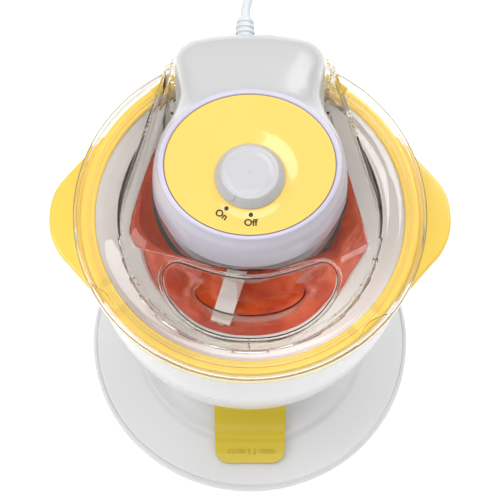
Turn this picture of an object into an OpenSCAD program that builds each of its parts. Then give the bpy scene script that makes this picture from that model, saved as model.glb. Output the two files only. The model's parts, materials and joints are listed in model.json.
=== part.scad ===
// Table-top ice cream maker: a round pedestal foot, a double-walled freezer bowl,
// a clear lid with a filling chute, and a motor unit that drives a paddle.
// The origin is the centre of the foot on the table; the front faces -Y.

/* [Overall] */
// Radius of the clear lid's rim
lid_r = 107.5; // [96:0.5:130]
// Height of the lid's rim above the table
rim_z = 231; // [215:1:280]
// Radius of the round foot
foot_r = 104; // [90:1:130]

/* [Foot] */
// Radius of the pedestal's neck
neck_r = 46.5; // [44:0.5:50]
// Height of the raised middle of the foot
step_z = 17.3; // [15:0.1:21]
// Wall thickness of the foot and the bowl's housing
wall = 2.4; // [1.6:0.1:3.2]
// Height of the rubber feet
pad_h = 2.5; // [1.5:0.1:4]

/* [Bowl] */
// Radius of the food well at its mouth
well_r = 66.5; // [60:0.5:72]
// Height of the food well's floor above the table
well_floor_z = 122; // [112:1:140]
// Thickness of the aluminium
metal_t = 1.5; // [0.8:0.1:2.5]
// Radius of the round spigot under the bowl
spigot_r = 30; // [26:0.5:34]

/* [Lid] */
// Thickness of the clear plastic
clear_t = 1.8; // [1.2:0.1:2.6]
// Height of the raised middle of the lid above its rim
plateau_h = 12; // [9:0.5:14]
// Depth of the filling chute below the raised middle
chute_depth = 37; // [25:1:42]

/* [Motor unit] */
// Height of the motor unit's top above the lid's rim
unit_h = 55.5; // [50:0.5:70]
// Wall thickness of the motor unit
unit_t = 2.2; // [1.6:0.1:3]
// Radius of the dial
dial_r = 21; // [16:0.5:26]
// Height of the dial
dial_h = 7.4; // [5:0.2:12]

/* [Drive] */
// Tooth module of the gears
tooth_m = 1; // [0.9:0.05:1.1]
// Radius of the drive spindle
spindle_r = 4.5; // [4:0.1:6]
// Radius of the motor
motor_r = 22; // [16:0.5:23]

/* [Paddle] */
// Width of the paddle's slanting top strip
strip_w = 12; // [8:0.5:16]
// Gap between the paddle and the food well's wall
paddle_gap = 3; // [2:0.5:8]
// Direction in which one blade points at rest, in degrees
blade_turn = -107; // [-180:1:180]

/* [Latch] */
// Width of the latch tongue
tongue_w = 46.5; // [30:0.5:60]
// Thickness of the latch tongue
tongue_t = 3; // [2:0.1:4]

/* [Cord] */
// Radius of the cord
cord_r = 3; // [2.5:0.1:4]

/* [Fits] */
// Radial clearance of a shaft in its bore
run_gap = 0.05; // [0.02:0.01:0.1]
// Clearance between a loose piece and its neighbour
loose_gap = 0.5; // [0.3:0.05:0.8]

/* [Hidden] */
$fn = 96;

// Colours
shell_grey = [0.90, 0.90, 0.92];
lemon = [0.98, 0.86, 0.36];
clear_plastic = [0.93, 0.96, 0.98, 0.35];
bare_metal = [0.80, 0.80, 0.82];

// Plan scale of everything that follows the lid's size
plan = lid_r / 107.5;

// Foot
plate_t = 2;
plate_top_z = pad_h + plate_t;
step_r = neck_r + (foot_r - neck_r) / 2;
neck_z = 46;
neck_top_z = 56;
flare_steps = 8;
foot_edge = [
    [foot_r, pad_h],
    [foot_r, pad_h + 4.2],
    [foot_r - 0.5, pad_h + 5.4],
    [foot_r - 1.8, pad_h + 6.2],
    [step_r + 4, step_z - 4.9],
    [step_r + 1.6, step_z - 4.2],
    [step_r - 1, step_z - 0.9],
    [step_r - 3, step_z]
];
foot_flare = [
    for (i = [1:flare_steps])
        let (u = 1 - i / flare_steps)
        [neck_r + (step_r - 3 - neck_r) * u, step_z + (neck_z - step_z) * pow(1 - u, 3)]
];
foot_out = concat(foot_edge, foot_flare, [[neck_r, neck_top_z]]);
pad_spread_r = foot_r - 22;
screw_spread_r = step_r - 15;
boss_r = 4;
screw_r = 1.5;
screw_head_r = 3.2;
screw_head_h = 1.1;

// Bowl
housing_r = lid_r - 6;
housing_top_z = rim_z - 9;
housing_base = [56, 75];
bowl_bottom_z = 71.5;
housing_h = housing_top_z - housing_base[1];
housing_curve = [
    [housing_r, housing_top_z],
    [housing_r - 1, housing_top_z - 0.39 * housing_h],
    [housing_r - 8, housing_base[1] + 0.17 * housing_h],
    housing_base
];
housing_steps = 14;
housing_out = concat(
    [for (i = [0:housing_steps]) bezier(housing_curve, 0.9 * i / housing_steps)],
    [[53, bowl_bottom_z + 0.8], [50, bowl_bottom_z]]
);
ledge_z = housing_top_z - 6.5;
spigot_bottom_z = 34;
spigot_screw_r = 20;
rim_lip_r = housing_r - 3.7;
core_in = [
    [rim_lip_r, housing_top_z - 0.4],
    [rim_lip_r - 3.8, housing_top_z - 0.8],
    [rim_lip_r - 7.8, housing_top_z - 4.5],
    [rim_lip_r - 15.8, housing_top_z - 13.5],
    [well_r + 7.5, housing_top_z - 20],
    [well_r + 2, housing_top_z - 23.5],
    [well_r, housing_top_z - 27],
    [well_r - 1.5, well_floor_z + 48],
    [well_r - 4.5, well_floor_z + 18],
    [well_r - 8.5, well_floor_z + 7],
    [well_r - 16.5, well_floor_z + 1.5],
    [well_r - 26.5, well_floor_z],
    [0, well_floor_z]
];
core_out = [
    for (i = [0:len(core_in) - 1])
        (i == 0 || i == len(core_in) - 1)
            ? core_in[i] - [0, metal_t]
            : core_in[i] + [metal_t, -metal_t]
];
gel_floor_z = well_floor_z - 20;
canister_in = [
    core_out[1],
    [rim_lip_r - 6.8, housing_top_z - 22],
    [rim_lip_r - 11.8, housing_top_z - 57],
    [rim_lip_r - 19.8, gel_floor_z + 28],
    [rim_lip_r - 29.8, gel_floor_z + 8],
    [rim_lip_r - 45.8, gel_floor_z + 1.5],
    [0, gel_floor_z]
];
canister_t = 1.8;
canister_flange_z = ledge_z + 2.7;
pip_r = 4;
pip_h = 9;

// Handle ring
ring_in_r = housing_r - 7.5;
ring_out_r = housing_r + 1.8;
ring_top_z = rim_z - 3;
// Outline of the right ear, from the ring's front to its back
ear_points = [
    [88, -54], [93.5, -49.6], [97.8, -45], [102, -39.6], [106.2, -34.6], [110.6, -29.4],
    [115.2, -24], [118.6, -17.8], [121.2, -11], [122.4, -3.5], [122.4, 3.5], [121.6, 10],
    [119.8, 16.6], [116.6, 22.6], [112.2, 28.4], [107.6, 33.8], [102.8, 39.4], [98.4, 44.6],
    [94, 49], [88, 54], [70, 40], [70, -40]
] * plan;
ear_top_z = rim_z - 7.7;
ear_t = 5.8;

// Lid
floor_z = rim_z + 2;
plateau_z = rim_z + plateau_h;
skirt_z = rim_z - 7;
seat_y = 16 * plan;
egg_front = [0, -10 * plan];
egg_front_r = 79.3 * plan;
egg_back = [0, 100 * plan];
egg_back_r = 47.5 * plan;
seat_r = 53.2 * plan;
channel_x = 46.6 * plan;
channel_wall_z = plateau_z + 4.5;
channel_wall_y = 60 * plan;
tail_y = 84 * plan;
// Half outlines of the chute's mouth and outlet, from front to back
mouth_half = [
    [0, -85], [16, -83.5], [29.5, -78.5], [39.5, -71.2], [46.2, -63.2], [50.8, -55],
    [52.4, -46.6], [49.8, -39.6], [44, -36.9], [36, -39.2], [25.5, -42.9], [12, -46.3], [0, -47.4]
] * plan;
outlet_half = [
    [0, -60.9], [8, -60.4], [15.6, -59], [22, -56.6], [26.8, -53.8], [30.4, -50.4],
    [32.2, -46.6], [31, -43.4], [27.8, -42.1], [23.6, -42.6], [17.4, -44.4], [8.6, -47], [0, -47.8]
] * plan;
// Height along the chute and how far its outline has opened there
chute_levels = [[0, 0], [0.4, 0.03], [0.55, 0.16], [0.72, 0.44], [0.87, 0.76], [1, 1]];
chute_lip_w = 1.2;
chute_low_z = plateau_z - chute_depth;
bush_r = 8;

// Motor unit: half outlines from the front of the head to the back of the arm
boss_half = [
    [0, -36.5], [20, -32.5], [38, -20.2], [49.6, -1], [52.4, 18], [46.4, 37.5], [45.4, 54],
    [45.2, 68], [45.8, 82], [44.6, 94], [36, 101.5], [18, 104.3], [0, 105]
] * plan;
seam_half = [
    [0, -44.5], [23, -40.2], [43, -27.2], [56, -7], [58.6, 13], [54.4, 33], [46.6, 49.5],
    [43, 63], [44.6, 79], [45.6, 92], [37, 101.5], [18, 105.3], [0, 106]
] * plan;
crown_half = [
    [0, -40], [21, -36.4], [40, -24.4], [52.4, -5.2], [54.7, 14], [49.8, 30.2], [41.6, 41.4],
    [34.8, 47.4], [28.4, 51.6], [21.6, 54.6], [14.2, 56.9], [7, 58.2], [0, 58.6]
] * plan;
unit_base_z = floor_z + 2.3;
collar_z = channel_wall_z + 0.5;
seam_z = rim_z + 25;
crown_z = rim_z + unit_h;
cover_h = crown_z - seam_z;
// Height along the cover and how far the outline has closed in there
cover_levels = [[0, 0], [0.33, 0.06], [0.56, 0.2], [0.75, 0.5], [0.92, 0.85], [1, 1]];
disc_rx = 51 * plan;
disc_ry = 45.2 * plan;
disc_y = 8.4 * plan;
disc_z = crown_z - 0.5;
disc_t = 2.2;
dial_z = disc_z + disc_t + 0.4;
dial_shaft_r = 3.5;
switch_z = crown_z - 13.5;
pointer_az = -124;

// Gear train: output wheel on the bowl's axis, compound idler, motor pinion
out_teeth = 38;
small_teeth = 14;
large_teeth = 60;
pinion_teeth = 12;
idler_y = tooth_m * (out_teeth + small_teeth) / 2;
pinion_y = idler_y + tooth_m * (large_teeth + pinion_teeth) / 2;
gear_t = 6;
out_gear_z = unit_base_z + 5.2;
large_gear_z = out_gear_z + gear_t + 2;
large_gear_t = 4;
chassis_z = large_gear_z + large_gear_t + 2.4;
chassis_t = 2;
idler_pin_r = 3;
motor_shaft_r = 2;
motor_h = 17;
half_tooth_large = 180 / large_teeth;
small_start = -90 + 180 / small_teeth;

// Spindle and paddle
hex_r = 4;
hex_top_z = rim_z - 26;
hex_low_z = rim_z - 35;
hub_r = 9;
hub_top_z = rim_z - 26.5;
hub_low_z = well_floor_z + 2.5;
blade_t = 3.4;
blade_low_z = well_floor_z + 5;
blade_top_z = rim_z - 30;
blade_out_r = well_r - 1.5 - paddle_gap;

// Latch
tongue_tip_r = foot_r - 16;
tongue_gap = 0.5;
bar_x = 12;
bar_z = 38;
bar_t = 4.2;
shoe_y = 34;
shoe_top_z = 46;
window_gap = 0.6;

// Cord: its free route from the gland to the coil
gland_x = -3;
gland_z = 247 + (rim_z - 231);
gland_y0 = 101 * plan;
gland_y1 = 122 * plan;
gland_l = gland_y1 - gland_y0;
coil_mid_r = 33;
turn_pitch = 2 * cord_r + 0.2;
coil_half_w = 1.5 * turn_pitch;
coil_h = 2 * turn_pitch;
coil_centre = [-14, 318];
cord_route = [
    [gland_x, gland_y1 - 3, gland_z],
    [-2.6, 129, gland_z],
    [0, 139, 246.4],
    [5, 152, 243],
    [10, 166, 235],
    [14, 180, 221],
    [17, 193, 200],
    [20, 206, 173],
    [22, 217, 144],
    [24, 227, 113],
    [25, 236, 82],
    [24, 245, 53],
    [20, 257, 28],
    [12, 268, 13],
    [2, 275.5, 5.5],
    [-6, 278.4, 3.4],
    [-14, 278.8, 3.2]
];
cord_sides = 10;

// ---------- shared functions ----------

function bezier(p, t) =
    pow(1 - t, 3) * p[0] + 3 * pow(1 - t, 2) * t * p[1] + 3 * (1 - t) * t * t * p[2] + pow(t, 3) * p[3];

function reversed(list) = [for (i = [len(list) - 1:-1:0]) list[i]];

function ellipse_points(rx, ry, y0, n = 72) =
    [for (i = [0:n - 1]) [rx * cos(360 * i / n), y0 + ry * sin(360 * i / n)]];

// A point of a smooth curve through b and c, with neighbours a and d
function spline(a, b, c, d, t) =
    b + (c - a) * t / 2
    + (2 * a - 5 * b + 4 * c - d) * t * t / 2
    + (3 * b - a - 3 * c + d) * pow(t, 3) / 2;

function closed_spline(p, steps) =
    let (n = len(p))
    [
        for (i = [0:n - 1])
            for (k = [0:steps - 1])
                spline(p[(i + n - 1) % n], p[i], p[(i + 1) % n], p[(i + 2) % n], k / steps)
    ];

// A whole outline from its right half
function both_halves(half) =
    concat(half, [for (i = [len(half) - 2:-1:1]) [-half[i][0], half[i][1]]]);

function unit_outline(half, steps = 3) = closed_spline(both_halves(half), steps);

// The outline moved inwards by d, or outwards where d is negative
function inset(p, d) =
    let (n = len(p))
    [
        for (i = [0:n - 1])
            let (along = p[(i + 1) % n] - p[(i + n - 1) % n])
            p[i] + d * [-along[1], along[0]] / norm(along)
    ];

function mixed_half(a, b, share) = [for (i = [0:len(a) - 1]) a[i] * (1 - share) + b[i] * share];

function at_height(p, z) = [for (q = p) [q[0], q[1], z]];

function cover_ring(level, d) =
    inset(unit_outline(seam_half + (crown_half - seam_half) * level[1]), d);

// A curved bean: mid radius, half width and half angle, closed round ends
function chute_outline(share, grow = 0) =
    inset(closed_spline(both_halves(mixed_half(outlet_half, mouth_half, share)), 3), -grow);

function egg_outline(grow, n = 24) =
    let (rise = asin((egg_front_r - egg_back_r) / (egg_back[1] - egg_front[1])))
    concat(
        [
            for (i = [0:2 * n])
                let (a = -180 - rise + (180 + 2 * rise) * i / (2 * n))
                egg_front + (egg_front_r + grow) * [cos(a), sin(a)]
        ],
        [
            for (i = [0:n])
                let (a = rise + (180 - 2 * rise) * i / n)
                egg_back + (egg_back_r + grow) * [cos(a), sin(a)]
        ]
    );

// An involute gear's outline, with slightly short and thin teeth for free running
function involute(base, roll) =
    base * [cos(roll) + roll * PI / 180 * sin(roll), sin(roll) - roll * PI / 180 * cos(roll)];

function turned(p, a) = [p[0] * cos(a) - p[1] * sin(a), p[0] * sin(a) + p[1] * cos(a)];

function gear_outline(teeth) =
    let (pitch = tooth_m * teeth / 2)
    let (base = pitch * cos(20))
    let (tip = pitch + 0.8 * tooth_m)
    let (root = pitch - 1.15 * tooth_m)
    let (roll_tip = sqrt(pow(tip / base, 2) - 1) * 180 / PI)
    let (roll_pitch = tan(20) * 180 / PI)
    let (pitch_p = involute(base, roll_pitch))
    let (pitch_a = atan2(pitch_p[1], pitch_p[0]))
    let (half = 90 / teeth - 0.09 * tooth_m / pitch * 180 / PI + pitch_a)
    let (flank = [for (k = [0:3]) involute(base, roll_tip * k / 3)])
    [
        for (i = [0:teeth - 1])
            let (a = 360 * i / teeth)
            each concat(
                [turned([root, 0], a - half)],
                [for (p = flank) turned([p[0], p[1]], a - half)],
                [for (p = reversed(flank)) turned([p[0], -p[1]], a + half)],
                [turned([root, 0], a + half)]
            )
    ];

// ---------- shared modules ----------

// A solid through rings of equal point count, from the lowest ring to the highest
module loft(rings) {
    n = len(rings[0]);
    levels = len(rings);
    sides = [
        for (k = [0:levels - 2])
            for (i = [0:n - 1])
                let (j = (i + 1) % n)
                each [
                    [k * n + i, (k + 1) * n + i, (k + 1) * n + j],
                    [k * n + i, (k + 1) * n + j, k * n + j]
                ]
    ];
    caps = [[for (i = [0:n - 1]) i], [for (i = [n - 1:-1:0]) (levels - 1) * n + i]];
    polyhedron([for (ring = rings) each ring], concat(sides, caps), convexity = 8);
}

// The same, with the last ring joined to the first, so that the solid is a tube
module loft_ring(rings) {
    n = len(rings[0]);
    levels = len(rings);
    sides = [
        for (k = [0:levels - 1])
            for (i = [0:n - 1])
                let (j = (i + 1) % n)
                let (m = (k + 1) % levels)
                each [[k * n + i, m * n + i, m * n + j], [k * n + i, m * n + j, k * n + j]]
    ];
    polyhedron([for (ring = rings) each ring], sides, convexity = 8);
}

module turned_skin(outer, inner) {
    rotate_extrude() polygon(concat(outer, reversed(inner)));
}

module prism(points, z0, z1) {
    translate([0, 0, z0]) linear_extrude(z1 - z0) polygon(points);
}

// A pan-head screw standing on its head, with its head's underside at z = 0
module screw(shank_l, head_h = screw_head_h) {
    difference() {
        union() {
            translate([0, 0, -head_h]) cylinder(h = head_h, r = screw_head_r);
            cylinder(h = shank_l, r = screw_r);
        }
        for (a = [0, 90])
            rotate([0, 0, a]) translate([-2, -0.4, -head_h - 1]) cube([4, 0.8, 1.6]);
    }
}

module around(count, r, start, index) {
    rotate([0, 0, start + 360 * index / count]) translate([r, 0, 0]) children();
}

// ---------- stand ----------

module foot_shell() {
    last = len(foot_out) - 1;
    inner = [
        for (i = [0:last])
            foot_out[i] - [wall, (i == 0 || i == last) ? 0 : wall]
    ];
    boss_top = lookup(screw_spread_r + boss_r, foot_out) - wall / 2;
    color(shell_grey) difference() {
        union() {
            turned_skin(foot_out, inner);
            for (i = [0:3]) around(4, screw_spread_r, 45, i)
                translate([0, 0, plate_top_z]) cylinder(h = boss_top - plate_top_z, r = boss_r);
        }
        for (i = [0:3]) around(4, screw_spread_r, 45, i)
            translate([0, 0, plate_top_z - 1]) cylinder(h = 11.5, r = screw_r + 0.1);
        translate([-bar_x - window_gap, -neck_r - 12, bar_z - window_gap])
            cube([2 * (bar_x + window_gap), 20, bar_t + 2 * window_gap]);
    }
}

module cradle_cup() {
    sleeve_r = neck_r - wall - 0.2;
    socket_in = spigot_r + loose_gap;
    socket_out = socket_in + 2.6;
    floor_top = bowl_bottom_z - 0.6;
    color(shell_grey) difference() {
        union() {
            rotate_extrude() polygon([
                [socket_in, 33], [socket_out, 33], [socket_out, floor_top - 2.6], [sleeve_r - 2, floor_top - 2.6],
                [sleeve_r - 2, 50], [sleeve_r, 50], [sleeve_r, neck_top_z + 0.2], [neck_r, neck_top_z + 0.2],
                [neck_r + 2.5, neck_top_z + 5], [neck_r + 9, neck_top_z + 13], [neck_r + 19.6, neck_top_z + 25],
                [neck_r + 18.2, neck_top_z + 25.6], [53.6, floor_top + 0.9], [50.2, floor_top],
                [socket_in, floor_top]
            ]);
        }
        translate([-bar_x - window_gap, -spigot_r - 12, bar_z - window_gap])
            cube([2 * (bar_x + window_gap), 20, shoe_top_z - bar_z + 2 * window_gap]);
    }
}

module base_plate() {
    color(shell_grey) difference() {
        translate([0, 0, pad_h]) cylinder(h = plate_t, r = foot_r - wall - 0.2);
        for (i = [0:3]) around(4, screw_spread_r, 45, i) {
            cylinder(h = 20, r = screw_r + 0.4);
            cylinder(h = pad_h + 1.3, r = screw_head_r + 0.3);
        }
        for (i = [0:3]) around(4, pad_spread_r, 0, i) cylinder(h = 20, r = 2.6);
    }
}

module rubber_foot(index) {
    color([0.25, 0.25, 0.27]) around(4, pad_spread_r, 0, index) {
        cylinder(h = pad_h, r = 9);
        cylinder(h = plate_top_z + 0.6, r = 2.5);
    }
}

module middle_foot() {
    color([0.25, 0.25, 0.27]) cylinder(h = pad_h, r = 14);
}

module base_screw(index) {
    color(bare_metal) around(4, screw_spread_r, 45, index)
        translate([0, 0, pad_h + 1.3]) screw(9.5);
}

module latch_guide() {
    rail_x = bar_x + window_gap;
    color(shell_grey) {
        translate([-8, -43, plate_top_z]) cube([16, 6, bar_z - 4.5 - plate_top_z]);
        difference() {
            translate([-rail_x - 2, -43, bar_z - 4.5]) cube([2 * rail_x + 4, 7, 4.5 + bar_t]);
            translate([-rail_x, -50, bar_z - window_gap]) cube([2 * rail_x, 20, 20]);
        }
    }
}

// ---------- latch ----------

module latch_tongue() {
    inner_r = neck_r + 2.6;
    steps = 16;
    under = [
        for (i = [0:steps])
            let (r = inner_r + (tongue_tip_r - inner_r) * i / steps)
            [r, lookup(r, foot_out) + tongue_gap]
    ];
    over = [for (p = under) p + [0, tongue_t]];
    corner_r = 8;
    half_w = tongue_w / 2;
    outline = concat(
        [[-half_w, -inner_r]],
        [
            for (i = [0:6])
                let (a = 180 + 15 * i)
                [-half_w + corner_r, corner_r - tongue_tip_r] + corner_r * [cos(a), sin(a)]
        ],
        [
            for (i = [0:6])
                let (a = 270 + 15 * i)
                [half_w - corner_r, corner_r - tongue_tip_r] + corner_r * [cos(a), sin(a)]
        ],
        [[half_w, -inner_r]]
    );
    color(lemon) union() {
        intersection() {
            rotate([90, 0, -90]) translate([0, 0, -half_w - 2])
                linear_extrude(tongue_w + 4) polygon(concat(under, reversed(over)));
            prism(outline, 0, 80);
        }
        translate([-bar_x, -inner_r - 3, lookup(inner_r, foot_out) + tongue_gap + 1])
            cube([2 * bar_x, 3, bar_z + bar_t - lookup(inner_r, foot_out) - tongue_gap - 1]);
        translate([-bar_x, -inner_r - 3, bar_z]) cube([2 * bar_x, inner_r + 3 - shoe_y, bar_t]);
    }
}

module latch_shoe() {
    color(shell_grey) difference() {
        translate([-bar_x, -shoe_y, bar_z]) cube([2 * bar_x, 6, shoe_top_z - bar_z]);
        translate([0, 0, bar_z - 1]) cylinder(h = 20, r = spigot_r + loose_gap);
    }
}

// ---------- bowl ----------

module bowl_housing() {
    last = len(housing_out) - 1;
    inner = [
        for (i = [0:last])
            housing_out[i] + [-wall, i == 0 ? 0 : wall]
    ];
    color(shell_grey) difference() {
        union() {
            rotate_extrude() polygon(concat(
                [[0, bowl_bottom_z]], reversed(housing_out), inner, [[0, bowl_bottom_z + wall]]
            ));
            translate([0, 0, ledge_z]) difference() {
                cylinder(h = 2.6, r = housing_r - 1);
                translate([0, 0, -1]) cylinder(h = 5, r = rim_lip_r - 1.4);
            }
            for (i = [0:2]) around(3, spigot_screw_r, 90, i)
                translate([0, 0, bowl_bottom_z + 1]) cylinder(h = 10, r = boss_r);
        }
        for (i = [0:2]) around(3, spigot_screw_r, 90, i)
            translate([0, 0, bowl_bottom_z - 1]) cylinder(h = 10.5, r = screw_r + 0.1);
    }
}

module bowl_spigot() {
    color(shell_grey) difference() {
        translate([0, 0, spigot_bottom_z]) cylinder(h = bowl_bottom_z - spigot_bottom_z, r = spigot_r);
        translate([0, 0, spigot_bottom_z - 1])
            cylinder(h = bowl_bottom_z - spigot_bottom_z - 1.5, r = spigot_r - 3);
        for (i = [0:2]) around(3, spigot_screw_r, 90, i)
            translate([0, 0, spigot_bottom_z]) cylinder(h = 60, r = screw_r + 0.3);
    }
}

module bowl_screw(index) {
    color(bare_metal) around(3, spigot_screw_r, 90, index)
        translate([0, 0, bowl_bottom_z - 2.6]) screw(11, 2);
}

module freezer_shell() {
    last = len(canister_in) - 1;
    outer = [
        for (i = [1:last])
            canister_in[i] + [i == last ? 0 : canister_t, -canister_t]
    ];
    color([0.86, 0.88, 0.92]) rotate_extrude() polygon(concat(
        [core_out[0], [rim_lip_r, canister_flange_z], [rim_lip_r - 1.6, canister_flange_z]],
        outer,
        reversed(canister_in)
    ));
}

module coolant_gel() {
    edge = [for (i = [1:len(core_out) - 1]) core_out[i]];
    wet = [for (i = [1:len(canister_in) - 1]) canister_in[i]];
    color([0.55, 0.75, 0.92]) turned_skin(edge, wet);
}

module freezer_core() {
    color(bare_metal) {
        turned_skin(core_in, core_out);
        translate([0, 0, well_floor_z - metal_t / 2]) cylinder(h = pip_h + metal_t / 2, r = pip_r);
    }
}

module handle_ring() {
    color(lemon) {
        rotate_extrude() polygon([
            [ring_in_r, housing_top_z + 0.05], [housing_r + 0.3, housing_top_z + 0.05],
            [housing_r + 0.3, ear_top_z - ear_t], [ring_out_r, ear_top_z - ear_t],
            [ring_out_r, ring_top_z - 1.6], [ring_out_r - 0.5, ring_top_z - 0.5], [ring_out_r - 1.6, ring_top_z],
            [ring_in_r + 1.2, ring_top_z], [ring_in_r + 0.3, ring_top_z - 0.4], [ring_in_r, ring_top_z - 1.2]
        ]);
        difference() {
            for (side = [0, 1]) mirror([side, 0, 0])
                prism(closed_spline(ear_points, 3), ear_top_z - ear_t, ear_top_z);
            translate([0, 0, ear_top_z - ear_t - 1]) cylinder(h = ear_t + 2, r = housing_r + 1);
        }
    }
}

// ---------- lid ----------

module lid_skin() {
    rotate_extrude() polygon([
        [0, floor_z], [84 * plan, floor_z], [lid_r - 17, rim_z - clear_t], [lid_r - 1.8, rim_z - clear_t],
        [lid_r - 1.8, skirt_z], [lid_r, skirt_z], [lid_r, rim_z - 1], [lid_r - 1, rim_z],
        [lid_r - 16.4, rim_z], [84 * plan, floor_z + clear_t], [0, floor_z + clear_t]
    ]);
}

// The keyhole seat of the motor unit, open to the back
module seat_block(grow, z0, z1) {
    r = seat_r + grow;
    x = channel_x + grow;
    turn = acos(x / r);
    steps = 48;
    prism(concat(
        [[-x, lid_r + 5]],
        [
            for (i = [0:steps])
                let (a = 180 - turn + (180 + 2 * turn) * i / steps)
                [r * cos(a), seat_y + r * sin(a)]
        ],
        [[x, lid_r + 5]]
    ), z0, z1);
}

module within_rim(edge) {
    intersection() {
        children();
        translate([0, 0, rim_z - 10]) cylinder(h = 60, r = lid_r - edge);
    }
}

module clear_lid() {
    color(clear_plastic) difference() {
        union() {
            difference() {
                lid_skin();
                within_rim(1 + clear_t) prism(egg_outline(-clear_t), rim_z + 0.2, plateau_z - clear_t);
            }
            difference() {
                within_rim(1) prism(egg_outline(0), rim_z - 1, plateau_z);
                within_rim(1 + clear_t) prism(egg_outline(-clear_t), rim_z - 2, plateau_z - clear_t);
            }
            within_rim(1) union() {
                seat_block(clear_t, floor_z, plateau_z);
                translate([-channel_x - clear_t, tail_y, rim_z - 1])
                    cube([2 * (channel_x + clear_t), lid_r, 3]);
                translate([-channel_x - clear_t, channel_wall_y, plateau_z - 1])
                    cube([2 * (channel_x + clear_t), lid_r, channel_wall_z - plateau_z + 1]);
            }
        }
        seat_block(0, floor_z + clear_t, channel_wall_z + 1);
        prism(chute_outline(1, clear_t + 0.2), plateau_z - clear_t - 1, plateau_z + 1);
        translate([0, 0, floor_z - 10]) cylinder(h = 20, r = bush_r);
    }
}

// The funnel that fills the bowl while the paddle turns
module filling_chute() {
    neck_z = plateau_z - clear_t - 0.4;
    lip = chute_outline(1, clear_t + chute_lip_w);
    color(clear_plastic) loft_ring(concat(
        [
            for (l = chute_levels)
                at_height(chute_outline(l[1], clear_t), chute_low_z + l[0] * (neck_z - chute_low_z))
        ],
        [
            at_height(chute_outline(1, clear_t), plateau_z),
            at_height(lip, plateau_z),
            at_height(lip, plateau_z + 1.2),
            at_height(chute_outline(1), plateau_z + 1.2)
        ],
        [
            for (l = reversed(chute_levels))
                at_height(chute_outline(l[1]), chute_low_z + l[0] * (neck_z - chute_low_z))
        ]
    ));
}

module spindle_bush() {
    color([0.95, 0.95, 0.95]) difference() {
        union() {
            translate([0, 0, floor_z - 5]) cylinder(h = 5 + clear_t, r = bush_r);
            translate([0, 0, floor_z - 2]) cylinder(h = 2, r = bush_r + 3);
        }
        translate([0, 0, floor_z - 10]) cylinder(h = 20, r = spindle_r + run_gap);
    }
}

module lid_seal() {
    color([0.8, 0.82, 0.84]) translate([0, 0, ring_top_z + 0.3]) difference() {
        cylinder(h = 3 - clear_t - 0.3, r = housing_r - 2.5);
        translate([0, 0, -1]) cylinder(h = 5, r = housing_r - 5);
    }
}

// ---------- motor unit ----------

module unit_tray() {
    boss = unit_outline(boss_half);
    seam = unit_outline(seam_half);
    color(shell_grey) difference() {
        union() {
            difference() {
                union() {
                    prism(boss, unit_base_z, collar_z);
                    loft([at_height(boss, collar_z), at_height(seam, seam_z)]);
                }
                prism(inset(boss, unit_t), unit_base_z + 2.4, collar_z + 0.01);
                loft([at_height(inset(boss, unit_t), collar_z), at_height(inset(seam, unit_t), seam_z + 0.01)]);
            }
            translate([0, 0, unit_base_z + 1]) cylinder(h = 3.6, r = 9);
            for (i = [0:3]) translate(cover_screw_at(i))
                translate([0, 0, unit_base_z + 1]) cylinder(h = seam_z - unit_base_z - 1, r = 3.6);
        }
        translate([0, 0, unit_base_z - 1]) cylinder(h = 10, r = spindle_r + run_gap);
        for (i = [0:3]) translate(cover_screw_at(i)) {
            translate([0, 0, unit_base_z - 1]) cylinder(h = 60, r = screw_r + 0.3);
            translate([0, 0, unit_base_z - 1]) cylinder(h = 2.4, r = screw_head_r + 0.3);
        }
        translate([gland_x, gland_y1, gland_z]) rotate([90, 0, 0]) cylinder(h = gland_l + 10, r = 5.6);
    }
}

// Where the four screws of the cover stand
function cover_screw_at(i) =
    [[44, 22, 0], [-44, 22, 0], [37, 92, 0], [-37, 92, 0]][i] * plan;

module unit_cover() {
    color([0.93, 0.92, 0.95]) difference() {
        union() {
            difference() {
                loft([for (l = cover_levels) at_height(cover_ring(l, 0), seam_z + l[0] * cover_h)]);
                loft([
                    for (l = cover_levels)
                        at_height(cover_ring(l, unit_t), seam_z - 0.01 + l[0] * (cover_h - 2.4))
                ]);
            }
            for (i = [0:3]) translate(cover_screw_at(i))
                translate([0, 0, seam_z]) cylinder(h = i < 2 ? cover_h - 1.2 : 12, r = 3.6);
        }
        prism(ellipse_points(disc_rx + 0.2, disc_ry + 0.2, disc_y), disc_z, crown_z + 1);
        translate([0, 0, crown_z - 5]) cylinder(h = 10, r = dial_shaft_r + run_gap);
        for (i = [0:3]) translate(cover_screw_at(i))
            translate([0, 0, seam_z - 1]) cylinder(h = 11, r = screw_r + 0.1);
    }
}

module fascia_disc() {
    color(lemon) difference() {
        prism(ellipse_points(disc_rx, disc_ry, disc_y), disc_z, disc_z + disc_t);
        translate([0, 0, disc_z - 1]) cylinder(h = 10, r = dial_shaft_r + run_gap);
    }
}

module chassis_plate() {
    outline = inset(unit_outline(seam_half), unit_t + 1.8);
    color(bare_metal) difference() {
        union() {
            prism(outline, chassis_z, chassis_z + chassis_t);
            for (p = [[27, -8], [-27, -8], [30, 74], [-30, 74]] * plan)
                translate([p[0], p[1], unit_base_z + 2.4]) cylinder(h = chassis_z - unit_base_z - 2.4, r = 3);
        }
        for (i = [0:3]) translate(cover_screw_at(i)) cylinder(h = 400, r = 4.2);
        translate([0, pinion_y, chassis_z - 1]) cylinder(h = 10, r = motor_shaft_r + run_gap);
        translate([0, idler_y, chassis_z - 1]) cylinder(h = 10, r = idler_pin_r - 0.8);
    }
}

module idler_pin() {
    color(bare_metal) translate([0, idler_y, unit_base_z + 2.4]) {
        cylinder(h = chassis_z - unit_base_z - 2.4, r = idler_pin_r);
        cylinder(h = chassis_z - unit_base_z - 2.4 + chassis_t, r = idler_pin_r - 0.8);
    }
}

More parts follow.
